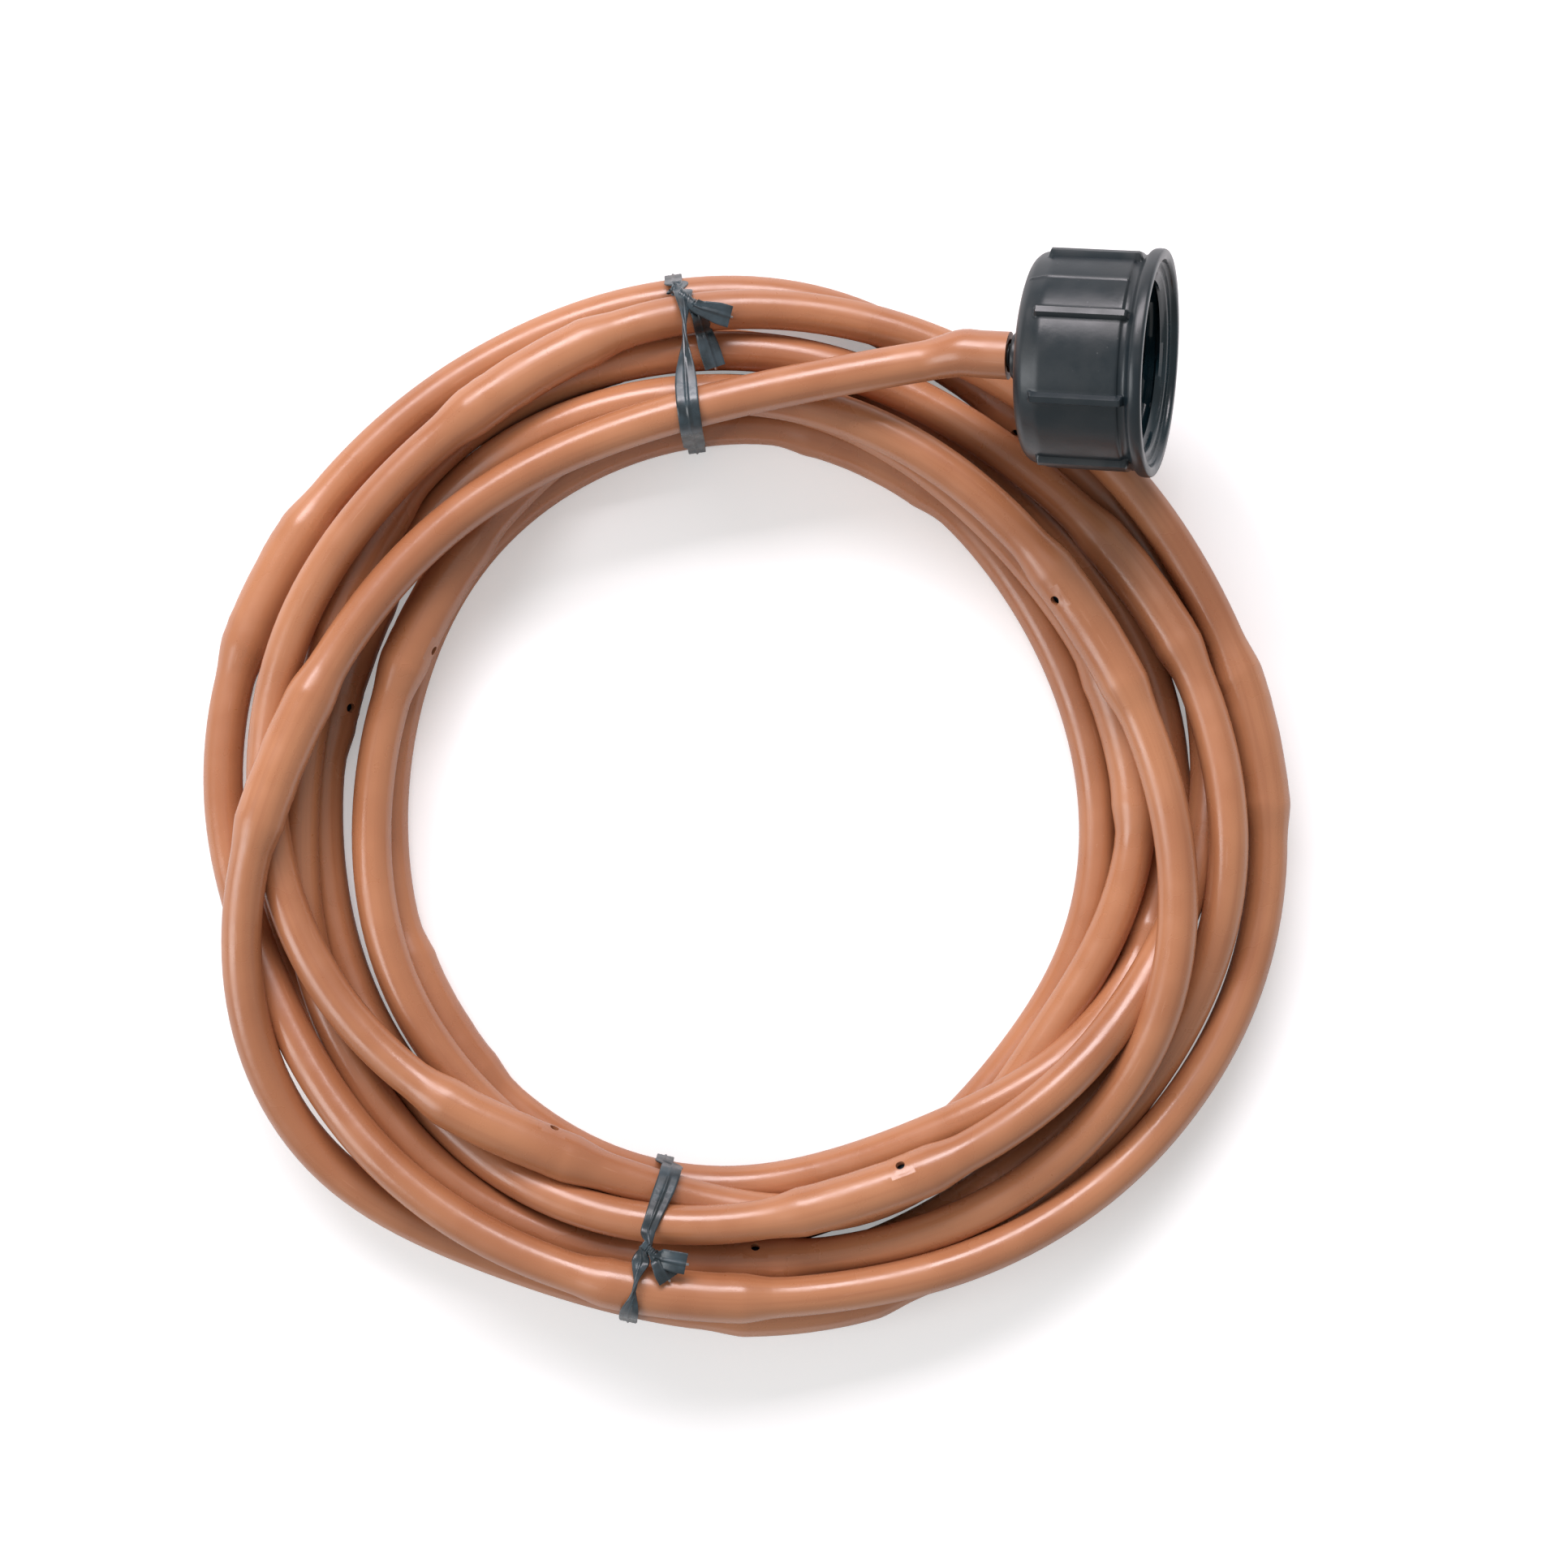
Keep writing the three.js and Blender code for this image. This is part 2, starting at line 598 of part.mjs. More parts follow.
function threadRidge() {
  const steps = Math.round(THREAD_TURNS * 24);
  const start = NUT_LENGTH - THREAD_IN - THREAD_TURNS * THREAD_PITCH;
  const rings = [];
  for (let k = 0; k <= steps; k++) {
    const a = (2 * Math.PI * k) / 24;
    const z = start + (THREAD_PITCH * k) / 24;
    const fade = Math.min(1, k / 3, (steps - k) / 3);
    const crest = THREAD_ROOT - 0.1 - (THREAD_DEPTH - 0.1) * fade;
    const at = (radius, rise) => new THREE.Vector3(
      radius * Math.cos(a), radius * Math.sin(a), z + rise,
    );
    rings.push([
      at(THREAD_ROOT + 0.6, -0.55), at(THREAD_ROOT + 0.6, 0.55),
      at(crest, 0.2), at(crest, -0.2),
    ]);
  }
  return skin(rings.map((points) => points.reverse()));
}

function couplingNut() {
  const rimStart = NUT_LENGTH - RIM_LENGTH;
  const shell = turned([
    [NUT_NECK_HOLE, 0],
    [NUT_RADIUS - 2.4, 0],
    [NUT_RADIUS - 1.1, 0.6],
    [NUT_RADIUS - 0.3, 1.6],
    [NUT_RADIUS, PANEL_START - 0.8],
    [NUT_RADIUS + PANEL_HEIGHT, PANEL_START],
    [NUT_RADIUS + PANEL_HEIGHT, PANEL_END],
    [NUT_RADIUS, PANEL_END + 0.3],
    [NUT_RADIUS, rimStart],
    [RIM_RADIUS - 0.3, rimStart + 0.7],
    [RIM_RADIUS, rimStart + 1.3],
    [RIM_RADIUS, NUT_LENGTH - 0.5],
    [RIM_RADIUS - 0.4, NUT_LENGTH],
    [THREAD_ROOT + 1.2, NUT_LENGTH],
    [THREAD_ROOT, NUT_LENGTH - 1.6],
    [THREAD_ROOT, NUT_BACK + 0.5],
    [THREAD_ROOT - 0.5, NUT_BACK],
    [NUT_NECK_HOLE, NUT_BACK],
    [NUT_NECK_HOLE, 0],
  ], NUT_SIDES);
  let solid = toSolid(shell).add(toSolid(threadRidge()));
  const ribBase = NUT_RADIUS - 0.5;
  const ribDepth = PANEL_HEIGHT + RIB_HEIGHT + 0.5;
  for (let k = 0; k < NUT_RIBS; k++) {
    const rib = new THREE.BoxGeometry(ribDepth, RIB_WIDTH, RIB_END - RIB_START);
    rib.translate(ribBase + ribDepth / 2, 0, (RIB_START + RIB_END) / 2);
    rib.rotateZ((2 * Math.PI * k) / NUT_RIBS + THREE.MathUtils.degToRad(NUT_ROLL));
    solid = solid.add(toSolid(rib));
  }
  return onNutAxis(part('coupling_nut', toGeometry(solid), black));
}

function tailpiece() {
  const flangeTop = NUT_BACK + TOUCH_GAP + FLANGE_THICK;
  const collarEnd = -TOUCH_GAP - COLLAR_LENGTH;
  const tip = collarEnd - BARB_LENGTH;
  const barbs = [1, 2, 3].flatMap((k) => {
    const z = tip + (k * BARB_LENGTH) / 4;
    return [[BARB_CREST, z], [BARB_ROOT, z + 0.1]];
  });
  const profile = [
    [WATERWAY, tip],
    [BARB_ROOT, tip],
    ...barbs,
    [BARB_ROOT, collarEnd],
    [COLLAR_RADIUS, collarEnd],
    [COLLAR_RADIUS, -TOUCH_GAP],
    [NECK_RADIUS, -TOUCH_GAP],
    [NECK_RADIUS, NUT_BACK + TOUCH_GAP],
    [FLANGE_RADIUS, NUT_BACK + TOUCH_GAP],
    [FLANGE_RADIUS, flangeTop],
    [WATERWAY + 3, flangeTop],
    [WATERWAY, flangeTop - 3],
    [WATERWAY, tip],
  ];
  return onNutAxis(part('barbed_tailpiece', turned(profile, 24), black));
}

const WASHER_SEAT = NUT_BACK + FLANGE_THICK + 2 * TOUCH_GAP;

function hoseWasher() {
  const top = WASHER_SEAT + WASHER_THICK;
  const profile = [
    [WASHER_INNER, WASHER_SEAT],
    [WASHER_OUTER, WASHER_SEAT],
    [WASHER_OUTER, top],
    [WASHER_INNER, top],
    [WASHER_INNER, WASHER_SEAT],
  ];
  return onNutAxis(part('hose_washer', turned(profile, 32), rubber));
}

function filterScreen() {
  const disc = new THREE.Shape();
  disc.absarc(0, 0, SCREEN_RADIUS, 0, 2 * Math.PI);
  const addHole = (radius, angle) => {
    const hole = new THREE.Path();
    const x = radius * Math.cos(angle);
    const y = radius * Math.sin(angle);
    hole.absarc(x, y, SCREEN_HOLE_RADIUS, 0, 2 * Math.PI);
    disc.holes.push(hole);
  };
  for (let k = 0; k < SCREEN_HOLES; k++) {
    addHole(SCREEN_RADIUS * 0.73, (2 * Math.PI * k) / SCREEN_HOLES);
  }
  for (let k = 0; k < SCREEN_HOLES / 2; k++) {
    addHole(SCREEN_RADIUS * 0.39, (4 * Math.PI * k) / SCREEN_HOLES);
  }
  addHole(0, 0);
  const plate = new THREE.ExtrudeGeometry(disc, {
    depth: SCREEN_THICK, bevelEnabled: false, curveSegments: 3,
  });
  return onNutAxis(part('filter_screen', plate.translate(0, 0, WASHER_SEAT + SCREEN_LIFT), inner));
}

function endPlug() {
  const last = hoseStations.at(-1);
  const profile = [
    [0, -PLUG_STEM_LENGTH],
    [PLUG_BARB - PLUG_BARB_STEP, -PLUG_STEM_LENGTH],
    [PLUG_BARB, -PLUG_STEM_LENGTH + 2.5],
    [PLUG_BARB - PLUG_BARB_STEP, -PLUG_STEM_LENGTH + 2.7],
    [PLUG_BARB - PLUG_BARB_STEP, TOUCH_GAP],
    [PLUG_HEAD_RADIUS, TOUCH_GAP],
    [PLUG_HEAD_RADIUS, PLUG_HEAD_LENGTH - PLUG_CHAMFER],
    [PLUG_HEAD_RADIUS - PLUG_CHAMFER, PLUG_HEAD_LENGTH],
    [0, PLUG_HEAD_LENGTH],
  ];
  const mesh = part('end_plug', turned(profile, 12), inner);
  mesh.quaternion.setFromUnitVectors(new THREE.Vector3(0, 0, 1), last.tangent);
  mesh.position.copy(last.centre);
  return mesh;
}

// ------------------------------------------------------------------ the ties

// The taut outline round the turns at a tie, grown by some clearance: corners in
// the upright plane through the coil's middle, as [radial, height] pairs.
function tautOutline(angle, grow, lowest) {
  const a = THREE.MathUtils.degToRad(angle);
  const circles = lay.points.flatMap((p, i) => {
    const across = p.x * Math.sin(a) - p.y * Math.cos(a);
    const outward = p.x * Math.cos(a) + p.y * Math.sin(a);
    if (Math.abs(across) > TIE_WIDTH || outward < 0) return [];
    const reach = EMITTER_LENGTH / 2 + TIE_WIDTH;
    const swollen = lay.places.some((at) => Math.abs(i * lay.spacing - at) < reach);
    return [[outward, p.z, (swollen ? SWELL_RADIUS : HOSE_RADIUS) + grow]];
  });
  const reach = [];
  for (let k = 0; k < TIE_SIDES; k++) {
    const d = (2 * Math.PI * k) / TIE_SIDES;
    reach.push(Math.max(...circles.map(([u, v, r]) => u * Math.cos(d) + v * Math.sin(d) + r)));
  }
  const turn = (2 * Math.PI) / TIE_SIDES;
  return reach.map((h, k) => {
    const next = reach[(k + 1) % TIE_SIDES];
    const d = turn * k;
    const u = (h * Math.sin(d + turn) - next * Math.sin(d)) / Math.sin(turn);
    const v = (next * Math.cos(d) - h * Math.cos(d + turn)) / Math.sin(turn);
    return new THREE.Vector2(u, Math.max(v, lowest));
  });
}

// The height of an outline's upper side at a distance from the coil's middle.
function topOf(outline, u) {
  const heights = outline.map((p, k) => {
    const q = outline[(k + 1) % outline.length];
    const t = (u - p.x) / (q.x - p.x);
    return t >= 0 && t <= 1 ? p.y + (q.y - p.y) * t : -Infinity;
  });
  return Math.max(...heights);
}

function ribbonTail(knot, crest, { radial, along }) {
  const end = new THREE.Vector3(knot.x + radial, crest + 1.6, along);
  const length = knot.distanceTo(end);
  const strip = new THREE.BoxGeometry(length, TIE_THICKNESS, TIE_WIDTH - 0.5).translate(length / 2, 0, 0);
  const x = end.clone().sub(knot).normalize();
  const z = new THREE.Vector3().crossVectors(x, new THREE.Vector3(0, 1, 0)).normalize();
  const y = new THREE.Vector3().crossVectors(z, x);
  strip.applyMatrix4(new THREE.Matrix4().makeBasis(x, y, z).setPosition(knot));
  return toSolid(strip);
}

function twistTie({ name, angle, knot, tails }) {
  const outer = tautOutline(angle, TIE_CLEARANCE + TIE_THICKNESS, 0);
  const inside = tautOutline(angle, TIE_CLEARANCE, TIE_THICKNESS);
  const band = new THREE.Shape(outer);
  band.holes.push(new THREE.Path(inside));
  const strip = new THREE.ExtrudeGeometry(band, { depth: TIE_WIDTH, bevelEnabled: false });
  let solid = toSolid(strip.translate(0, 0, -TIE_WIDTH / 2));
  const crest = Math.max(...outer.map((p) => p.y));
  const at = new THREE.Vector3(knot, topOf(outer, knot) + KNOT_HEIGHT / 2 - 0.4, 0);
  const lump = new THREE.BoxGeometry(KNOT_WIDTH, KNOT_HEIGHT, TIE_WIDTH).translate(at.x, at.y, at.z);
  solid = solid.add(toSolid(lump));
  for (const tail of tails) solid = solid.add(ribbonTail(at, crest, tail));
  const mesh = part(name, toGeometry(solid), ribbon);
  const a = THREE.MathUtils.degToRad(angle);
  const radial = new THREE.Vector3(Math.cos(a), Math.sin(a), 0);
  const up = new THREE.Vector3(0, 0, 1);
  const across = new THREE.Vector3().crossVectors(radial, up);
  mesh.quaternion.setFromRotationMatrix(new THREE.Matrix4().makeBasis(radial, up, across));
  return mesh;
}

// ------------------------------------------------------------------ assembly

const soakerHose = new THREE.Group();
soakerHose.add(hose());
emitterStations().forEach(([start, end], k) => soakerHose.add(emitter(start, end, k + 1)));
soakerHose.add(couplingNut(), tailpiece(), hoseWasher(), filterScreen(), endPlug());
for (const tie of TIES) soakerHose.add(twistTie(tie));

// The origin is under the middle of the whole part's box.
const middle = new THREE.Box3().setFromObject(soakerHose, true).getCenter(new THREE.Vector3());
soakerHose.position.set(-middle.x, -middle.y, 0);
soakerHose.updateMatrixWorld(true);

console.log(`least gap of the hose to itself: ${leastGap().toFixed(2)} mm`);
console.log(`length of the hose: ${(lay.length / 1000).toFixed(2)} m`);

export default soakerHose;
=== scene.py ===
# A coiled drip-line soaker hose with its ties, end plug and tap nut, dressed around its solids.
# Sizes in this script are millimetres, and each finished piece is scaled to metres.

import math

import bpy
import numpy as np
from mathutils import Matrix, Vector


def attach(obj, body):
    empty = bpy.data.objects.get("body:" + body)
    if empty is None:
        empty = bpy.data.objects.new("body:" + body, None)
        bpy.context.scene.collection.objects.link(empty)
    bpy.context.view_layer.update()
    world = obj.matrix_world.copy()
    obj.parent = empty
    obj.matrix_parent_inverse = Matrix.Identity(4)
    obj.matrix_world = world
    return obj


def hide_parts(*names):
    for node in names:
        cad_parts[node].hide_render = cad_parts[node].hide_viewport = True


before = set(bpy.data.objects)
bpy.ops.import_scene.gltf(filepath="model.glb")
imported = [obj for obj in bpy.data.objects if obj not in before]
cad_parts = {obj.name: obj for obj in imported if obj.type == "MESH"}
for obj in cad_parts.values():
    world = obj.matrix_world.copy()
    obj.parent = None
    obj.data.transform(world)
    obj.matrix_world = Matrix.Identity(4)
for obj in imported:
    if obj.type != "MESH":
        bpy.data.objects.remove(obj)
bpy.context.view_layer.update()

MM = 0.001
COIL = "coiled_hose"
NUT = "swivel_nut"

# ---------------- sizes

COIL_MIDDLE = (-0.4132, -0.1854)      # the coil's axis, from the origin
HOSE_RADIUS = 3.175
BORE_RADIUS = 2.1
SWELL_RADIUS = 4.0
SWELL_BORE = 3.1
GRIP_RADIUS = 3.7
GRIP_BORE = 2.6
BARB_GRIP = 9.0
END_STRAIGHT = 11.0
EMITTER_PITCH = 152.4
FIRST_EMITTER = 137.0
LAST_CLEAR = 20.0
EMITTER_LENGTH = 25.0
EMITTER_TAPER = 2.5
DRIPPER_HALF = EMITTER_LENGTH / 2 - 1
EMITTER_RADIUS = 2.75
EMITTER_BORE = 1.5
OUTLET_OFFSET = 6.5
OUTLET_RADIUS = 0.75
FLAT_DEPTH = 0.6

CHART_START = 60
CHART_STEP = 20
CHART_SPARE = 5
LANES = np.array([
    79.5, 67.2, 62.4, 62.8, 65.4, 68.8, 75.3, 84.9, 89.0, 82.6, 81.2, 81.9, 80.3, 78.1, 78.7,
    76.6, 74.4, 71.0, 70.2, 72.5, 73.4, 74.6, 74.2, 71.4, 71.4, 74.4, 75.9, 76.7, 73.3, 73.4,
    75.4, 75.4, 72.2,
    67.3, 62.8, 61.3, 62.4, 64.5, 66.2, 67.7, 69.3, 68.6, 68.7, 69.8, 70.5, 69.7, 67.8, 64.4,
    64.7, 66.7, 70.7,
    74.6, 77.1, 77.1, 76.9, 82.3, 82.8, 83.0, 84.0, 85.2, 84.7, 80.9, 80.6, 79.6, 78.0, 78.3,
    81.7, 84.1, 85.7,
    84.0, 81.1, 80.4, 79.9, 79.5, 78.7, 75.7, 75.5, 77.0, 76.2, 73.3, 68.4, 62.6, 63.0, 67.2,
    66.4, 60.6, 62.3,
    63.7, 61.6, 59.8, 61.4, 64.9, 67.3, 64.0, 60.2, 59.6, 59.8, 62.1, 63.5, 64.8, 68.7, 67.6,
    62.7, 60.1, 59.3,
    57.5, 56.5, 57.0, 60.1, 62.1, 61.7, 61.7, 60.4, 58.4, 58.0, 59.7, 61.2, 62.8, 63.5, 60.6,
    59.8, 64.8, 68.9,
    69.4, 69.5, 67.9, 68.8, 72.5, 75.2, 75.5, 76.4, 77.5, 76.8, 77.7, 76.8, 75.7, 75.8, 76.1,
    73.1, 73.8, 75.0,
])
LAYERS = np.array([
    3.3, 2.8, 2.6, 2.6, 2.8, 3.2, 2.8, 1.5, 0.3, 0, 0, 0, 0, 0, 0.5,
    1, 1, 1, 1.4, 1.4, 1.2, 1.2, 1.2, 1.2, 1.2, 1.2, 1.2, 1.2, 1.2, 1.5, 2.5, 3.2, 3.4,
    3.6, 3, 3, 2.6, 1.8, 1.8, 1.7, 0.9, 0, 0, 0, 1.3, 2, 3.6, 4, 3.5, 2.2, 1,
    0, 0, 0, 0, 0, 0, 0, 0, 0, 0, 1.2, 2, 2.6, 3, 2.6, 1.6, 0.5, 0,
    0.2, 0.6, 1.4, 2, 2, 2, 2.4, 2.3, 2.2, 2, 3, 3, 3, 2.5, 1.8, 1.2, 1, 1,
    1, 1, 1, 1, 0.7, 0.2, 0.4, 1, 1, 1, 1, 1.2, 1.4, 1, 0.5, 0, 0, 0,
    0, 0, 0, 0, 0, 0, 0, 0, 0, 0, 0, 0, 0, 0, 0.6, 2, 2, 0.5,
    0, 0, 0, 0, 0, 0, 0, 0, 0, 0, 0, 0, 0, 0, 0, 0, 0, 0,
])
POINT_STEP = 3.0
TURN_GAP = 0.25
SAME_STRETCH = 22.0
NEAR = 14.0
LAYER_HEIGHT = 7.2
PASSES = 500
EASING_PASSES = 200
LED_LENGTH = 60.0
SINK = 0.12
HOLD = 0.25
SIDE_SHARE = 0.12
PUSH = 1.2
STRAIGHTEN = 0.8
PUSHES = 5
TIE_ROOM = 1.2
TIE_REACH = 12.0

TAP_END = np.array([42.3, 69.2, 30.0])
NUT_PITCH = math.radians(15)
NUT_HEADING = math.radians(-5)
NUT_AXIS = np.array([
    math.cos(NUT_PITCH) * math.cos(NUT_HEADING),
    math.cos(NUT_PITCH) * math.sin(NUT_HEADING),
    math.sin(NUT_PITCH),
])
COLLAR_LENGTH = 1.4
COLLAR_SHOWS = 1.4                  # of the tailpiece's collar, past the solid's, as the hose sits
TOUCH_GAP = 0.3
NUT_ORIGIN = TAP_END + NUT_AXIS * (2 * TOUCH_GAP + COLLAR_LENGTH)

TOP_TIE_ANGLE = 97.8
BOTTOM_TIE_ANGLE = 257.2


# ---------------- node trees

class Nodes:
    """The nodes and links of one tree. A number or another socket feeds each socket."""

    def __init__(self, tree):
        self.nodes, self.links = tree.nodes, tree.links

    def put(self, value, socket):
        if isinstance(value, bpy.types.NodeSocket):
            self.links.new(value, socket)
        else:
            socket.default_value = value

    def fill(self, node, **sockets):
        for socket, value in sockets.items():
            self.put(value, node.inputs[socket.replace("_", " ")])

    def node(self, kind, *inputs, **settings):
        node = self.nodes.new(kind)
        for key, value in settings.items():
            setattr(node, key, value)
        for value, socket in zip(inputs, node.inputs):
            if value is not None:
                self.put(value, socket)
        return node

    def math(self, operation, *values):
        return self.node("ShaderNodeMath", *values, operation=operation).outputs[0]

    def plus(self, a, b):
        return self.math("ADD", a, b)

    def minus(self, a, b):
        return self.math("SUBTRACT", a, b)

    def over(self, a, b):
        return self.math("DIVIDE", a, b)

    def times(self, product, *factors):
        for factor in factors:
            product = self.math("MULTIPLY", product, factor)
        return product


# ---------------- camera, floor and light

def make_camera():
    data = bpy.data.cameras.new("view")
    data.sensor_width = 36
    data.lens = 78.8
    data.clip_start = 0.01
    camera = bpy.data.objects.new("view", data)
    bpy.context.scene.collection.objects.link(camera)
    camera.location = (0.0058, 0.0032, 0.558)
    bpy.context.scene.camera = camera


def area_light(name, place, size, power, colour=(1, 1, 1)):
    data = bpy.data.lights.new(name, "AREA")
    data.shape = "RECTANGLE"
    data.size, data.size_y = size
    data.energy = power
    data.color = colour
    lamp = bpy.data.objects.new(name, data)
    bpy.context.scene.collection.objects.link(lamp)
    lamp.location = place
    aim = Vector((0, 0, 0.01)) - Vector(place)
    lamp.rotation_euler = aim.to_track_quat("-Z", "Y").to_euler()


def light_room():
    area_light("softbox", (-0.12, 0.66, 0.66), (0.80, 0.34), 8.5, (1.0, 0.93, 0.97))
    area_light("side_fill", (-0.75, -0.25, 0.55), (0.5, 0.5), 3.2, (0.97, 0.98, 1.0))
    world = bpy.data.worlds.new("room")
    bpy.context.scene.world = world
    world.use_nodes = True
    room = Nodes(world.node_tree)
    paths = room.node("ShaderNodeLightPath").outputs
    seen = room.math("MAXIMUM", paths["Is Camera Ray"], paths["Is Transmission Ray"])
    level = room.node("ShaderNodeMapRange", seen)
    room.fill(level, To_Min=0.38, To_Max=1.0)
    room.fill(room.nodes["Background"], Color=(1, 1, 1, 1), Strength=level.outputs["Result"])
    bpy.context.scene.view_settings.view_transform = "Standard"


def make_floor():
    data = bpy.data.meshes.new("floor")
    reach = 2.5
    low = -0.0003
    corners = [(x * reach, y * reach, low) for x, y in ((-1, -1), (1, -1), (1, 1), (-1, 1))]
    data.from_pydata(corners, [], [(0, 1, 2, 3)])
    floor = bpy.data.objects.new("floor", data)
    bpy.context.scene.collection.objects.link(floor)
    paper = bpy.data.materials.new("pale_floor")
    paper.use_nodes = True
    tree = Nodes(paper.node_tree)
    shader = tree.nodes["Principled BSDF"]
    tree.fill(shader, Base_Color=(0.9, 0.9, 0.9, 1), Roughness=0.9, Specular_IOR_Level=0.1)
    seen = tree.node("ShaderNodeLightPath").outputs["Is Camera Ray"]
    glow = tree.node("ShaderNodeEmission", None, tree.times(seen, 0.32))
    both = tree.node("ShaderNodeAddShader", shader.outputs[0], glow.outputs[0])
    tree.put(both.outputs[0], tree.nodes["Material Output"].inputs["Surface"])
    data.materials.append(paper)


make_camera()
light_room()
make_floor()


# ---------------- the coil's lay

def distances(points):
    """How far along a line each of its points lies."""
    return np.r_[0, np.cumsum(np.linalg.norm(np.diff(points, axis=0), axis=1))]


def resampled(rows, far, along):
    """Rows of numbers that lie this far along a line, read at other distances."""
    return np.stack([np.interp(along, far, column) for column in rows.T], 1)


def cubic(rows, at):
    """A smooth cubic through rows of numbers, at these places counted in rows."""
    i = np.minimum(at.astype(int), len(rows) - 2)
    t = at - i if rows.ndim == 1 else (at - i)[:, None]
    slope = np.gradient(rows, axis=0)
    return ((2 * t**3 - 3 * t**2 + 1) * rows[i] + (t**3 - 2 * t**2 + t) * slope[i]
            + (3 * t**2 - 2 * t**3) * rows[i + 1] + (t**3 - t**2) * slope[i + 1])


def tap_lane_points():
    """The planned lay, as points 3 mm apart, with the first stretch on the nut's axis."""
    end = CHART_START + CHART_STEP * (len(LANES) - 1) - CHART_SPARE
    degrees = np.arange(CHART_START, end + 0.25, 0.5)
    at = (degrees - CHART_START) / CHART_STEP
    lane = cubic(LANES, at)
    layer = np.interp(at, np.arange(len(LAYERS)), LAYERS)
    turn = np.radians(degrees)
    fine = np.c_[lane * np.cos(turn), lane * np.sin(turn), HOSE_RADIUS + layer * LAYER_HEIGHT]
    far = distances(fine[:, :2])
    along = np.linspace(0, far[-1], int(round(far[-1] / POINT_STEP)) + 1)
    lay = resampled(fine, far, along)
    straight = along < END_STRAIGHT
    lay[straight] = TAP_END - NUT_AXIS * along[straight][:, None]
    return lay, along


def about_tie(points, angle):
    """How far points lie across the plane of a tie, and how far out in it. Applied to such
    a pair in the other order, it gives y and x again."""
    a = math.radians(angle)
    x, y = points[..., 0], points[..., 1]
    return x * math.sin(a) - y * math.cos(a), x * math.cos(a) + y * math.sin(a)


def near_tie(points):
    near = np.zeros(len(points), bool)
    for angle in (TOP_TIE_ANGLE, BOTTOM_TIE_ANGLE):
        across, outward = about_tie(points, angle)
        near |= (np.abs(across) < TIE_REACH) & (outward > 0)
    return near


def settled_route():
    """The hose's middle line at rest: it sinks, keeps its lane, resists bending and is
    pushed apart where turns meet."""
    lay, along = tap_lane_points()
    step = along[1]
    places = np.arange(FIRST_EMITTER, along[-1] - LAST_CLEAR, EMITTER_PITCH)
    half = EMITTER_LENGTH / 2 + 1
    swollen = (np.abs(along[:, None] - places[None]) <= half).any(1)
    radii = np.where(swollen, SWELL_RADIUS, HOSE_RADIUS)
    floors = radii - FLAT_DEPTH + np.where(near_tie(lay), TIE_ROOM, 0)
    spans = [(math.ceil((p - half) / step), math.floor((p + half) / step)) for p in places]
    held = along < END_STRAIGHT
    led = along < LED_LENGTH
    points = lay.copy()
    order = np.arange(len(points))
    apart = int(SAME_STRETCH // step) + 1
    for done in range(PASSES):
        if done % 20 == 0:
            flat = ((points[:, None, :2] - points[None, :, :2]) ** 2).sum(2)
            first, second = np.where((flat < NEAR**2) & (order[None] - order[:, None] >= apart))
        ease = min(1, (PASSES - done) / EASING_PASSES)
        points[:, 2] -= SINK * ease * ~led
        points[led, 2] += HOLD * ease * (lay[led, 2] - points[led, 2])
        points[:, :2] += HOLD * ease * (lay[:, :2] - points[:, :2])
        for reach, rate in ((1, 0.5), (3, 0.35), (6, 0.35)):
            bend = (-points[:-4 * reach] + 4 * points[reach:-3 * reach]
                    - 6 * points[2 * reach:-2 * reach]
                    + 4 * points[3 * reach:-reach] - points[4 * reach:])
            points[2 * reach:-2 * reach] += bend * rate * ease / 16
        height = points[:, 2].copy()
        points[6:-6, 2] += 0.25 * ease * ((height[:-12] + height[12:]) / 2 - height[6:-6])
        for low, high in spans:
            reach = (high - low) // 2
            a = points[low:low + reach + 1].mean(0)
            b = points[high - reach:high + 1].mean(0)
            t = ((np.arange(low, high + 1) - low - reach / 2) / (high - low - reach))[:, None]
            points[low:high + 1] += STRAIGHTEN * (a + (b - a) * t - points[low:high + 1])
        for _ in range(PUSHES):
            way = points[second] - points[first]
            distance = np.linalg.norm(way, axis=1)
            short = radii[first] + radii[second] + TURN_GAP - distance
            hit = short > 0
            push = way[hit] * (short[hit] / 2 / distance[hit])[:, None]
            shift = np.zeros_like(points)
            count = np.zeros(len(points))
            np.add.at(shift, second[hit], push)
            np.add.at(shift, first[hit], -push)
            np.add.at(count, second[hit], 1)
            np.add.at(count, first[hit], 1)
            share = (PUSH / np.maximum(count, 1))[:, None] * [SIDE_SHARE, SIDE_SHARE, 1]
            points += shift * share
            points[:, 2] = np.maximum(points[:, 2], floors)
        points[held] = lay[held]
    return points, along, places, radii


def eased(points):
    """The route with its corners softened, apart from the straight run at the tap end."""
    out = points.copy()
    for _ in range(14):
        out[5:-1] = (out[4:-2] + 2 * out[5:-1] + out[6:]) / 4
    return out


ROUTE, ALONG, EMITTERS, ROUTE_RADII = settled_route()
ROUTE = eased(ROUTE)
HOSE_LENGTH = float(ALONG[-1])


def smooth_route(along):
    """Points of the route at these distances, on a cubic through the settled points."""
    return cubic(ROUTE, np.clip(np.asarray(along) / ALONG[1], 0, len(ROUTE) - 1))


def unit(v):
    v = np.asarray(v, float)
    return v / np.linalg.norm(v, axis=-1, keepdims=True)


def frames_along(points):
    """Tangent, side (to the coil's outside) and up at each point of a line."""
    tangent = unit(np.gradient(points, axis=0))
    side = unit(np.cross(tangent, [0, 0, 1]))
    return tangent, side, np.cross(side, tangent)


# ---------------- making meshes

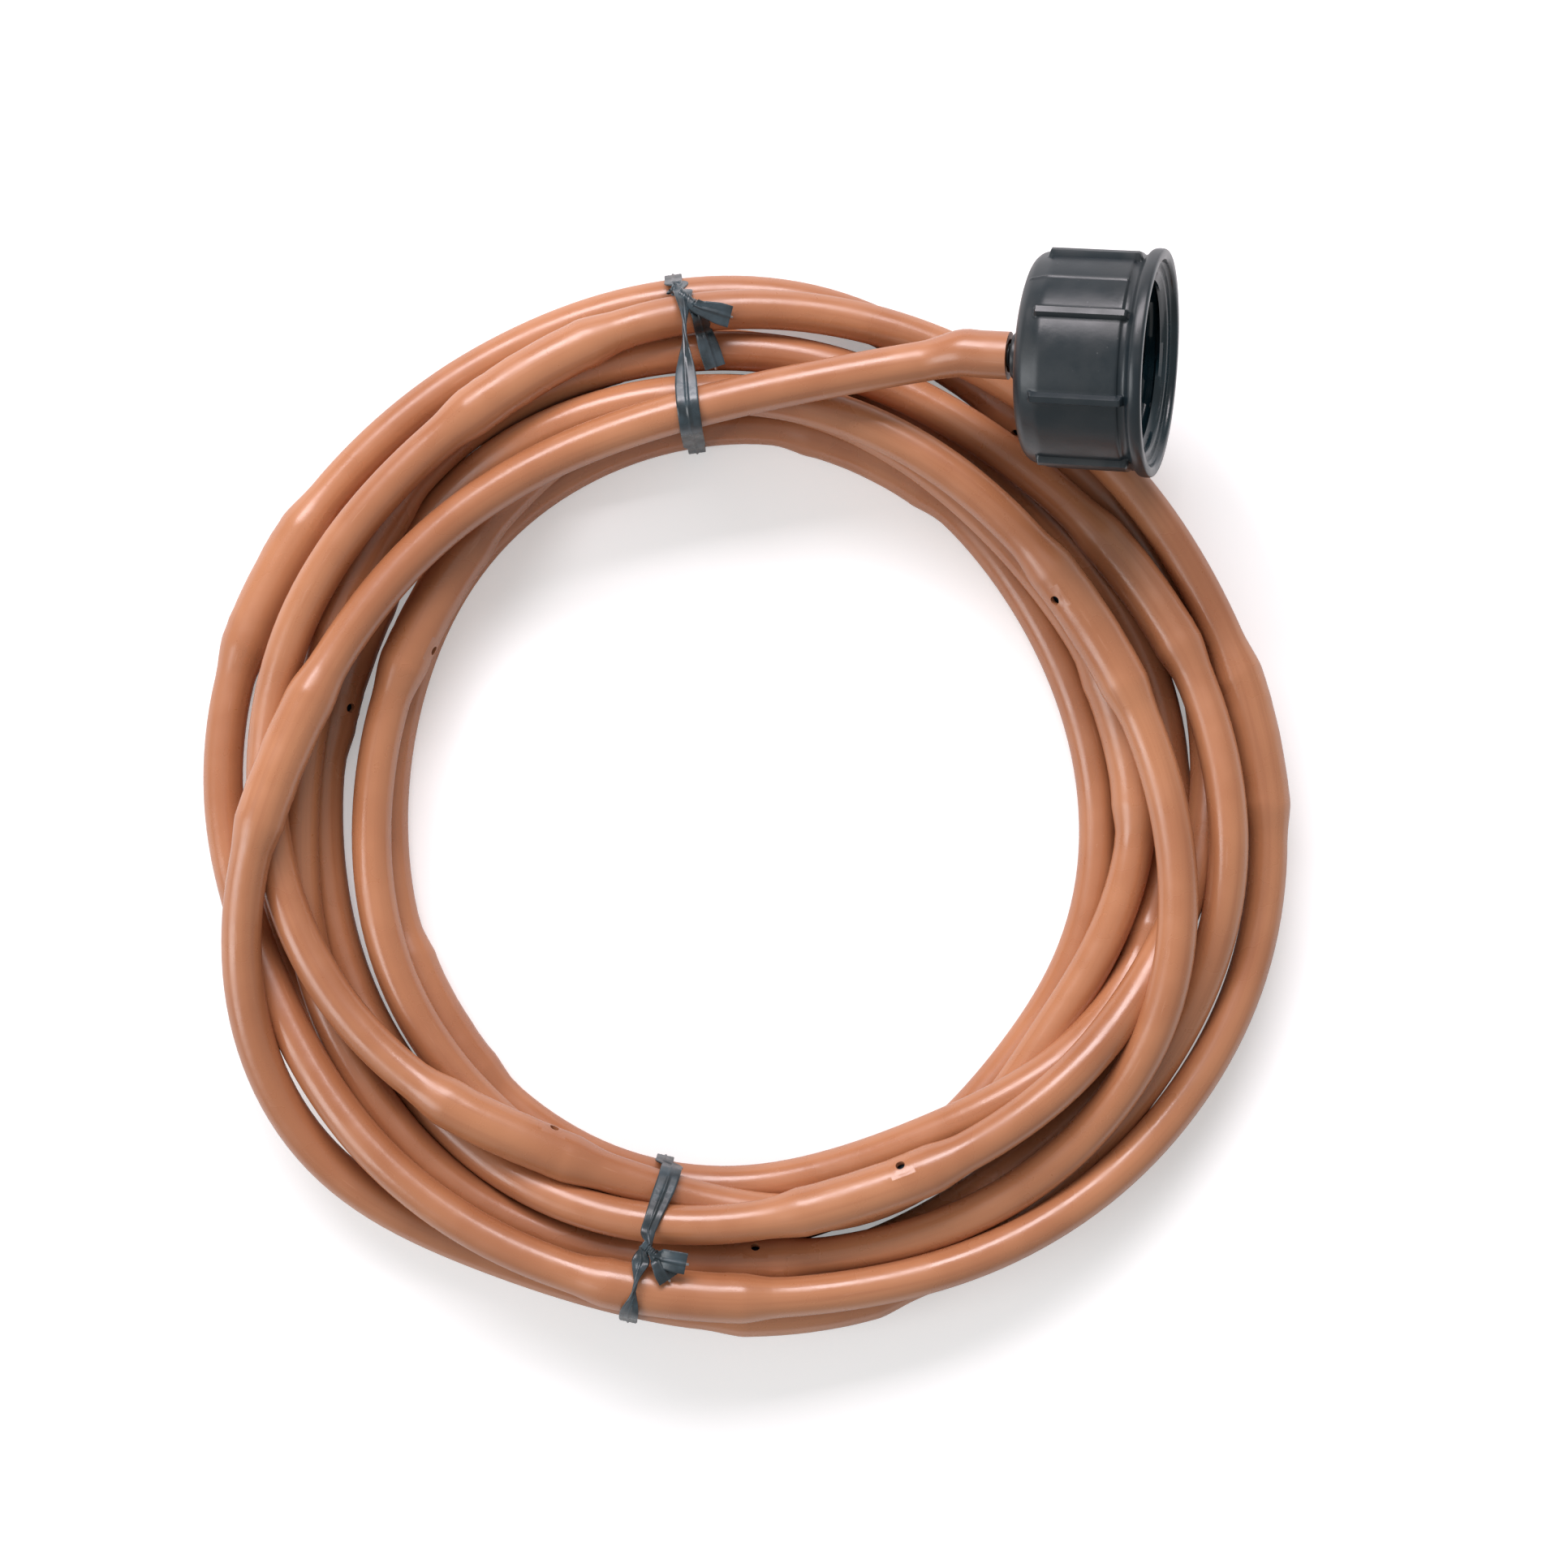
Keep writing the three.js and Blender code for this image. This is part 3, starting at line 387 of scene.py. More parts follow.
def place(points):
    """From millimetres about the coil's axis to metres about the origin."""
    return (np.asarray(points, float) + [COIL_MIDDLE[0], COIL_MIDDLE[1], 0]) * MM


def new_piece(name, points, faces, materials, body, smooth_below=35):
    """A finished mesh piece: points in millimetres, its object at the origin."""
    mesh = bpy.data.meshes.new(name)
    mesh.from_pydata(place(points).tolist(), [], [tuple(f) for f in faces])
    mesh.validate()
    for material in materials:
        mesh.materials.append(material)
    return piece_of(mesh, body, smooth_below)


def piece_of(mesh, body, smooth_below):
    """A mesh in its place, as an object of its name that rides on a body."""
    mesh.shade_smooth()
    mesh.set_sharp_from_angle(angle=math.radians(smooth_below))
    piece = bpy.data.objects.new(mesh.name, mesh)
    bpy.context.scene.collection.objects.link(piece)
    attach(piece, body)
    return piece


def grid_faces(rows, columns, closed_rows=False, offset=0):
    """Quads over rows of points, each row a closed loop of columns."""
    row = np.arange(rows if closed_rows else rows - 1)
    column = np.arange(columns)
    r, c = np.meshgrid(row, column, indexing="ij")
    r, c = r.ravel(), c.ravel()
    r2, c2 = (r + 1) % rows, (c + 1) % columns
    quads = np.stack([r * columns + c, r * columns + c2, r2 * columns + c2, r2 * columns + c], 1)
    return quads + offset


def lathe(profile, sides, axis, origin):
    """A closed profile of (radius, height) turned about an axis. It runs against the clock,
    with the radius to the right and the height upwards."""
    x = unit(np.cross(axis, [0, 0, 1])) if axis[2] < 0.9 else np.array([1.0, 0.0, 0.0])
    points = turned(np.asarray(profile, float), sides, x, axis, origin)
    return points, grid_faces(len(profile), sides, closed_rows=True)


def turned(profile, sides, x, axis, origin):
    """Rings of points: a profile of (radius, height) turned about an axis, from the way x."""
    a = np.arange(sides) * 2 * math.pi / sides
    ring = np.cos(a)[:, None] * x + np.sin(a)[:, None] * np.cross(axis, x)
    return (np.asarray(origin) + profile[:, None, :1] * ring[None]
            + profile[:, None, 1:] * np.asarray(axis)).reshape(-1, 3)


def rounded(profile, radius, steps=4):
    """A closed profile with each of its corners rounded."""
    corners = np.asarray(profile, float)
    out = []
    for k, corner in enumerate(corners):
        before = corners[k - 1] - corner
        after = corners[(k + 1) % len(corners)] - corner
        reach = min(radius, np.linalg.norm(before) / 2.2, np.linalg.norm(after) / 2.2)
        a, b = corner + unit(before) * reach, corner + unit(after) * reach
        for t in np.linspace(0, 1, steps + 1):
            out.append((1 - t) ** 2 * a + 2 * t * (1 - t) * corner + t**2 * b)
    return np.array(out)


# ---------------- finishes

def linear(red, green, blue):
    """A colour written in screen values from 0 to 255."""
    values = [v / 255 for v in (red, green, blue)]
    return tuple(v / 12.92 if v <= 0.04045 else ((v + 0.055) / 1.055) ** 2.4 for v in values) + (1,)


class Finish(Nodes):
    """A material built node by node."""

    def __init__(self, name, **shader):
        self.material = bpy.data.materials.new(name)
        self.material.use_nodes = True
        super().__init__(self.material.node_tree)
        self.shader = self.nodes["Principled BSDF"]
        self.set(**shader)

    def object_space(self):
        return self.node("ShaderNodeTexCoord").outputs["Object"]

    def attribute(self, name):
        return self.node("ShaderNodeAttribute", attribute_name=name).outputs["Vector"]

    def stretched(self, vector, scale):
        node = self.node("ShaderNodeMapping", vector)
        self.fill(node, Scale=scale)
        return node.outputs[0]

    def noise(self, vector, scale, detail=3, rough=0.5):
        node = self.node("ShaderNodeTexNoise", vector)
        self.fill(node, Scale=scale, Detail=detail, Roughness=rough)
        return node.outputs["Fac"]

    def spots(self, vector, scale):
        node = self.node("ShaderNodeTexVoronoi", vector)
        self.fill(node, Scale=scale)
        return node.outputs["Distance"]

    def remap(self, value, low, high, to_low=0.0, to_high=1.0):
        node = self.node("ShaderNodeMapRange", value, low, high, to_low, to_high,
                         interpolation_type="SMOOTHSTEP")
        return node.outputs["Result"]

    def blend(self, share, a, b):
        node = self.node("ShaderNodeMix", data_type="RGBA")
        self.put(share, node.inputs["Factor"])
        self.put(a, node.inputs[6])
        self.put(b, node.inputs[7])
        return node.outputs[2]

    def mottled(self, scale, detail, dark, light, low=0.35, high=0.7):
        """Two tones mixed by a soft noise, both written in screen values."""
        share = self.remap(self.noise(self.object_space(), scale, detail), low, high)
        return self.blend(share, linear(*dark), linear(*light))

    def bump(self, height, depth, strength=1.0, over=None):
        node = self.node("ShaderNodeBump")
        self.fill(node, Strength=strength, Distance=depth, Height=height)
        if over is not None:
            self.fill(node, Normal=over)
        return node.outputs["Normal"]

    def set(self, **sockets):
        self.fill(self.shader, **sockets)
        return self.material


def brown_polyethylene():
    f = Finish("brown_polyethylene", IOR=1.5, Specular_IOR_Level=0.8)
    space, unrolled = f.object_space(), f.attribute("unrolled")
    tone = f.mottled(38, 3, (172, 111, 75), (192, 130, 91), high=0.68)
    lines = f.noise(f.stretched(unrolled, (14, 900, 900)), 1.0, 4, 0.6)
    tone = f.blend(f.remap(lines, 0.45, 0.75, 0, 0.35), tone, linear(158, 94, 60))
    dust = f.remap(f.spots(space, 900), 0.10, 0.04)
    patch = f.remap(f.noise(space, 60, 2), 0.55, 0.72)
    tone = f.blend(f.times(dust, patch, 0.5), tone, linear(208, 164, 138))
    scuff = f.remap(f.noise(f.stretched(unrolled, (120, 1500, 1500)), 1.0, 2), 0.68, 0.76)
    tone = f.blend(f.times(scuff, 0.3), tone, linear(200, 146, 116))
    rough = f.remap(f.noise(space, 150, 4), 0.3, 0.75, 0.24, 0.38)
    normal = f.bump(lines, 0.00005, 0.5)
    normal = f.bump(f.noise(space, 420, 3), 0.00012, 0.28, normal)
    return f.set(Base_Color=tone, Roughness=rough, Normal=normal)


def moulded_plastic(name, dark, light, rough=(0.28, 0.42)):
    f = Finish(name, IOR=1.5, Specular_IOR_Level=0.6)
    space = f.object_space()
    tone = f.mottled(90, 4, dark, light)
    dust = f.times(f.remap(f.spots(space, 700), 0.11, 0.05), f.remap(f.noise(space, 70), 0.5, 0.7))
    tone = f.blend(f.times(dust, 0.35), tone, linear(120, 122, 120))
    normal = f.bump(f.noise(space, 1600, 2), 0.00003, 0.35)
    normal = f.bump(f.noise(space, 120, 2), 0.0003, 0.12, normal)
    roughness = f.remap(f.noise(space, 180, 3), 0.3, 0.7, *rough)
    return f.set(Base_Color=tone, Roughness=roughness, Normal=normal)


def tie_ribbon():
    f = Finish("tie_ribbon", IOR=1.5, Specular_IOR_Level=0.7)
    space = f.object_space()
    tone = f.mottled(260, 3, (34, 44, 48), (60, 76, 84))
    normal = f.bump(f.noise(space, 900, 3), 0.00006, 0.5)
    rough = f.remap(f.noise(space, 300, 2), 0.3, 0.7, 0.24, 0.4)
    return f.set(Base_Color=tone, Roughness=rough, Normal=normal)


def bright_wire():
    f = Finish("bright_wire", Metallic=1.0, Roughness=0.3)
    tone = f.blend(f.noise(f.object_space(), 800), linear(150, 152, 155), linear(205, 206, 208))
    return f.set(Base_Color=tone)


def washer_rubber():
    f = Finish("washer_rubber", Specular_IOR_Level=0.35)
    space = f.object_space()
    tone = f.mottled(200, 4, (24, 25, 26), (44, 45, 46))
    return f.set(Base_Color=tone, Roughness=f.remap(f.noise(space, 300), 0.3, 0.7, 0.6, 0.85),
                 Normal=f.bump(f.noise(space, 1100, 3), 0.00008, 0.4))


HOSE_FINISH = brown_polyethylene()
# A darker, more teal copy of the nut plastic: painted shade for the nut's bore and the face of its
# rim.
NUT_INSIDE_SHADE = moulded_plastic("nut_inside_painted_shade", (12, 32, 39), (20, 48, 57), (0.2, 0.3))
NUT_FINISH = moulded_plastic("nut_plastic", (22, 34, 40), (36, 42, 45))
TAIL_FINISH = moulded_plastic("tailpiece_plastic", (26, 32, 35), (38, 41, 43))
DEEP_FINISH = moulded_plastic("emitter_plastic", (24, 42, 52), (38, 56, 64))
TIE_FINISH = tie_ribbon()
WIRE_FINISH = bright_wire()
RUBBER_FINISH = washer_rubber()


# ---------------- the hose

SIDES = 24
LONG_STEP = 2.4
OUTLET_COLUMNS = {0: 9, 2: 9, 9: 9, 10: 9, 11: 9, 12: 9, 13: 5, 14: 9, 15: 5, 17: 9, 18: 9}
OUTLET_COLUMN = 3                   # columns of 15 degrees from straight up to the coil's inside


def ramp(x, low, high):
    t = np.clip((x - low) / (high - low), 0, 1)
    return t * t * (3 - 2 * t)


def hose_sizes(along):
    """Outer and bore radius of the hose at these distances."""
    grip = 1 - ramp(along, BARB_GRIP - 0.5, END_STRAIGHT + 1)
    outer = HOSE_RADIUS + (GRIP_RADIUS - HOSE_RADIUS) * grip
    bore = BORE_RADIUS + (GRIP_BORE - BORE_RADIUS) * grip
    for middle in EMITTERS:
        past = np.abs(along - middle) - EMITTER_LENGTH / 2
        swell = 1 - ramp(past, -EMITTER_TAPER, 4.5)
        room = 1 - ramp(past, -0.7, 1.5)
        ends = 0.04 * np.exp(-((past + 1.8) / 1.2) ** 2)
        outer = outer + (SWELL_RADIUS - 0.05 - HOSE_RADIUS) * swell + ends
        bore = bore + (SWELL_BORE - BORE_RADIUS) * room
    return outer, bore


def hose_stations():
    """Distances of the rings: closer at the ends of the emitters and at their outlets."""
    marks = [np.arange(COLLAR_SHOWS, HOSE_LENGTH, LONG_STEP), [HOSE_LENGTH], np.arange(8, 13, 0.6)]
    for middle in EMITTERS:
        for end in (-EMITTER_LENGTH / 2, EMITTER_LENGTH / 2):
            marks.append(middle + end + np.arange(-2.4, 3.1, 0.6))
        marks.append(middle + OUTLET_OFFSET + np.arange(-2, 3))
    along = np.sort(np.concatenate(marks))
    for outlet in EMITTERS + OUTLET_OFFSET:
        inside = np.abs(along - outlet) < 2.5
        off = (along - outlet) % 1
        exact = np.isclose(off, 0, atol=1e-6) | np.isclose(off, 1, atol=1e-6)
        along = along[~inside | exact]
    keep = [0]
    for k in range(1, len(along)):
        if along[k] - along[keep[-1]] > 0.3:
            keep.append(k)
    along = along[keep]
    along[-1] = HOSE_LENGTH
    return along


def make_hose():
    along = hose_stations()
    middle = smooth_route(along)
    _, side, up = frames_along(middle)
    outer, bore = hose_sizes(along)
    turn = np.arange(SIDES) * 2 * math.pi / SIDES
    # Column 0 is straight up, and the columns then go to the coil's inside.
    spoke = (np.cos(turn)[None, :, None] * up[:, None]
             - np.sin(turn)[None, :, None] * side[:, None])
    ripple = np.zeros((len(along), SIDES))
    for number, emitter in enumerate(EMITTERS):
        s = along - emitter
        inside = 1 - ramp(np.abs(s), EMITTER_LENGTH / 2 - 3, EMITTER_LENGTH / 2)
        wave = np.sin(s * 1.55 + number) * np.cos(s * 0.61 + 2.3 * number)
        ripple += 0.07 * (inside * wave)[:, None] * np.cos(turn[None] * 2 + number)
    outside = middle[:, None] + spoke * (outer[:, None] + ripple)[..., None]
    inside = middle[:, None] + spoke * bore[:, None, None]
    outside[..., 2] = np.maximum(outside[..., 2], 0)
    inside[..., 2] = np.maximum(inside[..., 2], 0.5)
    rows = len(along)
    points = [outside.reshape(-1, 3), inside.reshape(-1, 3)]
    total = rows * SIDES
    out_faces = grid_faces(rows, SIDES)[:, ::-1]
    in_faces = grid_faces(rows, SIDES, offset=total)
    drop = np.zeros((rows - 1, SIDES), bool)
    more_faces = []
    more_points = []
    start = 2 * total
    unrolled = [
        np.stack([np.repeat(along, SIDES), np.tile(np.cos(turn), rows) * 3.2,
                  np.tile(np.sin(turn), rows) * 3.2], 1)
    ] * 2
    for number, emitter in enumerate(EMITTERS):
        row = int(np.argmin(np.abs(along - emitter - OUTLET_OFFSET)))
        column = OUTLET_COLUMNS.get(number, OUTLET_COLUMN)
        drop[row - 2:row + 2, [(column + k) % SIDES for k in (-2, -1, 0, 1)]] = True
        loop = ([(-2, k) for k in range(-2, 2)] + [(k, 2) for k in range(-2, 2)]
                + [(2, -k) for k in range(-2, 2)] + [(-k, -2) for k in range(-2, 2)])
        corner = np.array([(row + r) * SIDES + (column + c) % SIDES for r, c in loop])
        centre, out = middle[row], spoke[row, column]
        ahead = unit(middle[row + 1] - middle[row - 1])
        across = np.cross(out, ahead)
        rings = []
        for wall, radius in ((outer[row], OUTLET_RADIUS * 1.6), (outer[row] - 0.02, OUTLET_RADIUS),
                             (bore[row] + 0.02, OUTLET_RADIUS)):
            base = np.concatenate(points)[corner + (total if wall < 3.5 else 0)] - centre
            angle = np.arctan2(base @ across, base @ ahead)
            flat = radius * (np.cos(angle)[:, None] * ahead + np.sin(angle)[:, None] * across)
            rise = np.sqrt(wall**2 - (radius * np.sin(angle)) ** 2)
            rings.append(centre + flat + rise[:, None] * out)
        more_points += rings
        count = len(loop)
        a, b, c = start, start + count, start + 2 * count
        for k in range(count):
            j = (k + 1) % count
            more_faces.append((corner[k], corner[j], a + j, a + k))
            more_faces.append((a + k, a + j, b + j, b + k))
            more_faces.append((b + k, b + j, c + j, c + k))
            more_faces.append((c + k, c + j, corner[j] + total, corner[k] + total))
        extra = np.tile([along[row], np.cos(turn[column]) * 3.2, np.sin(turn[column]) * 3.2],
                        (count, 1))
        unrolled += [extra] * 3
        start += 3 * count
    keep = ~drop.ravel()
    first_ring = [(k, (k + 1) % SIDES, total + (k + 1) % SIDES, total + k) for k in range(SIDES)]
    base = (rows - 1) * SIDES
    last_ring = [(base + (k + 1) % SIDES, base + k, total + base + k,
                  total + base + (k + 1) % SIDES) for k in range(SIDES)]
    faces = np.concatenate([out_faces[keep], in_faces[keep], np.array(more_faces),
                            np.array(first_ring), np.array(last_ring)])
    points = np.concatenate(points + more_points)
    unrolled = np.concatenate(unrolled)
    used = np.zeros(len(points), bool)
    used[faces.ravel()] = True
    renumber = np.cumsum(used) - 1
    piece = new_piece("drip_hose", points[used], renumber[faces], [HOSE_FINISH], COIL, 50)
    strip = piece.data.attributes.new("unrolled", "FLOAT_VECTOR", "POINT")
    strip.data.foreach_set("vector", (unrolled[used] * MM).astype(np.float32).ravel())
    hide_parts("hose")
    return piece


hose = make_hose()


# ---------------- end plug

def make_end_plug():
    tip = ROUTE[-1]
    axis = unit(ROUTE[-1] - ROUTE[-3])
    profile = rounded([(0.02, -10), (1.1, -10), (1.55, -7.4), (1.25, -7.2), (1.25, 0.25),
                       (2.5, 0.25), (2.5, 3.4), (1.9, 4.0), (0.9, 4.0), (0.7, 3.5),
                       (0.02, 3.5)], 0.3)
    points, faces = lathe(profile, 48, axis, tip)
    piece = new_piece("hose_end_plug", points, faces, [DEEP_FINISH], COIL)
    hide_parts("end_plug")
    return piece


end_plug = make_end_plug()

# ---------------- geometry nodes

class Tree(Nodes):
    """A Geometry Nodes tree that takes a mesh and named sizes, and ends in one mesh."""

    def __init__(self, name, **sizes):
        self.group = bpy.data.node_groups.new(name, "GeometryNodeTree")
        sockets = self.group.interface
        sockets.new_socket("Mesh", in_out="INPUT", socket_type="NodeSocketGeometry")
        sockets.new_socket("Mesh", in_out="OUTPUT", socket_type="NodeSocketGeometry")
        self.sizes = sizes
        self.keys = {}
        for size in sizes:
            socket = sockets.new_socket(size, in_out="INPUT", socket_type="NodeSocketFloat")
            self.keys[size] = socket.identifier
        super().__init__(self.group)
        self.given = self.nodes.new("NodeGroupInput")
        self.result = self.nodes.new("NodeGroupOutput")

    def size(self, name):
        return self.given.outputs[name]

    def ramp(self, value, low, high):
        return self.node("ShaderNodeMapRange", value, low, high,
                         interpolation_type="SMOOTHSTEP").outputs["Result"]

    def within(self, value, low, high, edge):
        """1 between low and high, falling to 0 over the edge on both sides."""
        rise = self.ramp(value, self.minus(low, edge), low)
        return self.times(rise, self.ramp(value, self.plus(high, edge), high))

    def position(self):
        """A point's x, y and z, its distance from the Z axis and its angle about it."""
        at = self.node("GeometryNodeInputPosition").outputs[0]
        x, y, z = self.node("ShaderNodeSeparateXYZ", at).outputs
        squares = self.plus(self.math("POWER", x, 2.0), self.math("POWER", y, 2.0))
        return x, y, z, self.math("SQRT", squares), self.math("ARCTAN2", y, x)

    def move_out(self, x, y, radius, amount):
        """The tree's end: every point moves away from the Z axis by this amount."""
        share = self.over(amount, radius)
        moved = self.node("GeometryNodeSetPosition", self.given.outputs["Mesh"])
        self.fill(moved, Offset=self.vector(self.times(x, share), self.times(y, share), 0.0))
        return moved.outputs[0]

    def vector(self, x, y, z):
        return self.node("ShaderNodeCombineXYZ", x, y, z).outputs[0]

    def end(self, geometry, material):
        real = self.node("GeometryNodeRealizeInstances", geometry)
        finish = self.node("GeometryNodeSetMaterial", real.outputs[0])
        self.fill(finish, Material=material)
        self.fill(self.result, Mesh=finish.outputs[0])

    def run(self, points, faces):
        """The tree's result on this mesh, as a plain mesh in millimetres."""
        mesh = bpy.data.meshes.new("blank")
        mesh.from_pydata(np.asarray(points).tolist(), [], [tuple(f) for f in faces])
        blank = bpy.data.objects.new("blank", mesh)
        bpy.context.scene.collection.objects.link(blank)
        shaping = blank.modifiers.new("shaping", "NODES")
        shaping.node_group = self.group
        for size, value in self.sizes.items():
            shaping[self.keys[size]] = float(value)
        ready = blank.evaluated_get(bpy.context.evaluated_depsgraph_get())
        made = bpy.data.meshes.new_from_object(ready)
        bpy.data.objects.remove(blank)
        return made


def on_axis(axis, origin, roll=0.0):
    """The matrix that stands +Z on an axis through a point, in millimetres."""
    x = unit(np.cross(axis, [0, 0, 1]))
    y = np.cross(axis, x)
    turn = Matrix((x.tolist(), y.tolist(), list(axis))).transposed().to_4x4()
    return Matrix.Translation(Vector(origin)) @ turn @ Matrix.Rotation(roll, 4, "Z")


def finished(mesh, name, matrix, body, material, smooth_below=35):
    """A made mesh, moved to its place, as a piece whose object sits at the origin."""
    mesh.name = name
    mesh.transform(matrix)
    co = np.zeros(len(mesh.vertices) * 3)
    mesh.vertices.foreach_get("co", co)
    mesh.vertices.foreach_set("co", place(co.reshape(-1, 3)).ravel())
    mesh.materials.clear()
    mesh.materials.append(material)
    return piece_of(mesh, body, smooth_below)


def dense(profile, longest):
    """A closed profile with points added so that no side is longer than this."""
    out = []
    for k, corner in enumerate(np.asarray(profile, float)):
        after = np.asarray(profile[(k + 1) % len(profile)], float)
        steps = max(1, math.ceil(np.linalg.norm(after - corner) / longest))
        out += [corner + (after - corner) * t / steps for t in range(steps)]
    return np.array(out)


# ---------------- the emitters

def emitter_shape():
    """A moulded dripper: a sleeve with end collars and a zigzag channel down each side."""
    half = DRIPPER_HALF
    tree = Tree("dripper", Depth=0.32, Teeth=1.9, Swing=0.55, Width=0.5, Half=half)
    x, y, z, radius, angle = tree.position()
    wave = tree.math("PINGPONG", tree.plus(z, 40.0), tree.size("Teeth"))
    wave = tree.times(tree.minus(wave, 0.95), tree.size("Swing"))
    turn = tree.times(tree.math("PINGPONG", angle, math.pi / 2), EMITTER_RADIUS)
    off = tree.math("ABSOLUTE", tree.minus(tree.minus(turn, wave), 2.1))
    channel = tree.ramp(off, tree.plus(tree.size("Width"), 0.2), tree.size("Width"))
    reach = tree.minus(tree.size("Half"), 2.2)
    from_middle = tree.math("ABSOLUTE", z)
    window = tree.ramp(from_middle, reach, tree.minus(reach, 0.4))
    outside = tree.math("GREATER_THAN", radius, 2.2)
    cut = tree.times(channel, window, outside)
    collar = tree.within(from_middle, tree.plus(reach, 0.9), tree.plus(reach, 1.3), 0.25)
    cut = tree.math("MAXIMUM", cut, tree.times(collar, outside))
    amount = tree.times(cut, tree.times(tree.size("Depth"), -1.0))
    tree.end(tree.move_out(x, y, radius, amount), DEEP_FINISH)
    r, bore = EMITTER_RADIUS, EMITTER_BORE
    profile = dense(rounded([(bore, -half), (r, -half), (r, half), (bore, half)], 0.35, 2), 0.6)
    return tree.run(*lathe(profile, 40, (0, 0, 1), (0, 0, 0)))


def make_emitters():
    shape = emitter_shape()
    for number, middle in enumerate(EMITTERS, 1):
        low, centre, high = smooth_route(middle + np.array([-DRIPPER_HALF, 0, DRIPPER_HALF]))
        matrix = on_axis(unit(high - low), (low + high) / 4 + centre / 2)
        piece = finished(shape.copy(), f"dripper_{number:02d}", matrix, COIL, DEEP_FINISH)
        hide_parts(f"emitter_{number:02d}")
    bpy.data.meshes.remove(shape)


make_emitters()


# ---------------- the tap fitting

NUT_LENGTH = 20.0
NUT_RADIUS = 16.3
PANEL_RADIUS = 16.7
PANEL_START = 3.6
PANEL_END = 16.2
RIB_RADIUS = 17.6
RIB_START = 3.4
RIB_END = 16.9
RIM_RADIUS = 17.4
RIM_LENGTH = 2.6
THREAD_ROOT = 13.4
THREAD_DEPTH = 0.9
NUT_BACK = 3.0
FLANGE_THICK = 2.0
WASHER_THICK = 2.4
NECK_HOLE = 5.2
NUT_ROLL = math.radians(28.4)       # of the first rib from straight up


def make_nut():
    tree = Tree("nut_grip", Ribs=8, Rib_radius=RIB_RADIUS, Rib_width=1.45, Rib_start=RIB_START,
                Rib_end=RIB_END, Seam_height=0.14, Seam_width=0.3, Seam_end=PANEL_END,
                Thread_depth=THREAD_DEPTH, Pitch=2.21, Thread_start=10.1, Thread_end=18.1)
    x, y, z, radius, angle = tree.position()
    sector = tree.over(2 * math.pi, tree.size("Ribs"))
    share = tree.math("FRACT", tree.over(tree.plus(angle, 4 * math.pi), sector))
    to_rib = tree.times(tree.math("MINIMUM", share, tree.minus(1.0, share)),
                        tree.times(sector, PANEL_RADIUS))
    half = tree.over(tree.size("Rib_width"), 2.0)
    rib = tree.ramp(to_rib, tree.plus(half, 0.22), tree.minus(half, 0.28))
    stands = tree.math("MAXIMUM", tree.minus(tree.size("Rib_radius"), radius), 0.0)
    rib = tree.times(rib, tree.within(z, tree.size("Rib_start"), tree.size("Rib_end"), 0.5), stands)
    to_seam = tree.math("ABSOLUTE", tree.math("SINE", tree.plus(angle, math.radians(67.5))))
    seam = tree.ramp(tree.times(to_seam, PANEL_RADIUS), tree.size("Seam_width"), 0.0)
    seam = tree.times(seam, tree.within(z, 1.4, tree.size("Seam_end"), 0.5),
                      tree.size("Seam_height"))
    outside = tree.math("GREATER_THAN", radius, NUT_RADIUS - 1.0)
    grip = tree.times(tree.math("MAXIMUM", rib, seam), outside)
    turns = tree.minus(tree.over(z, tree.size("Pitch")), tree.over(angle, 2 * math.pi))
    to_crest = tree.math("ABSOLUTE", tree.minus(tree.math("FRACT", turns), 0.5))
    crest = tree.ramp(to_crest, 0.27, 0.08)
    threaded = tree.within(z, tree.size("Thread_start"), tree.size("Thread_end"), 0.6)
    wall = tree.math("COMPARE", radius, THREAD_ROOT, 0.2)
    thread = tree.times(crest, threaded, wall, tree.size("Thread_depth"))
    tree.end(tree.move_out(x, y, radius, tree.minus(grip, thread)), NUT_FINISH)
    rim = NUT_LENGTH - RIM_LENGTH
    corners = [
        (NECK_HOLE, 0), (13.6, 0), (15.1, 0.5), (15.95, 1.4), (NUT_RADIUS, PANEL_START - 0.9),
        (PANEL_RADIUS, PANEL_START + 0.5), (PANEL_RADIUS, PANEL_END),
        (NUT_RADIUS, PANEL_END + 0.35), (NUT_RADIUS, rim), (RIM_RADIUS - 0.15, rim + 0.8),
        (RIM_RADIUS, rim + 1.5),
        (RIM_RADIUS - 0.1, NUT_LENGTH), (RIM_RADIUS - 1.7, NUT_LENGTH),
        (RIM_RADIUS - 1.9, NUT_LENGTH - 1.1), (THREAD_ROOT, NUT_LENGTH - 1.3),
        (THREAD_ROOT, NUT_BACK), (NECK_HOLE, NUT_BACK),
    ]
    profile = dense(rounded(corners, 0.5, 4), 0.45)
    mesh = tree.run(*lathe(profile, 480, (0, 0, 1), (0, 0, 0)))
    # Faces in the bore and on the rim's face take the darker copy: painted shade inside the nut's
    # mouth.
    inside = []
    for face in mesh.polygons:
        out = face.center.x * face.normal.x + face.center.y * face.normal.y
        rim_face = face.normal.z > 0.7 and face.center.z > NUT_LENGTH - 0.6
        inside.append(rim_face or (out < -1.0 and face.center.z > NUT_BACK))
    piece = finished(mesh, "tap_nut", nut_frame(NUT_ROLL), NUT, NUT_FINISH, 50)
    piece.data.materials.append(NUT_INSIDE_SHADE)
    piece.data.polygons.foreach_set("material_index", np.array(inside, np.int32))
    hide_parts("coupling_nut")


def nut_frame(roll=0.0):
    """The nut's own frame: +Z to its mouth, and its angle counted from straight up."""
    side = unit(np.cross(NUT_AXIS, [0, 0, 1]))
    up = np.cross(side, NUT_AXIS)
    turn = Matrix((up.tolist(), side.tolist(), NUT_AXIS.tolist())).transposed().to_4x4()
    return Matrix.Translation(Vector(NUT_ORIGIN)) @ turn @ Matrix.Rotation(roll, 4, "Z")


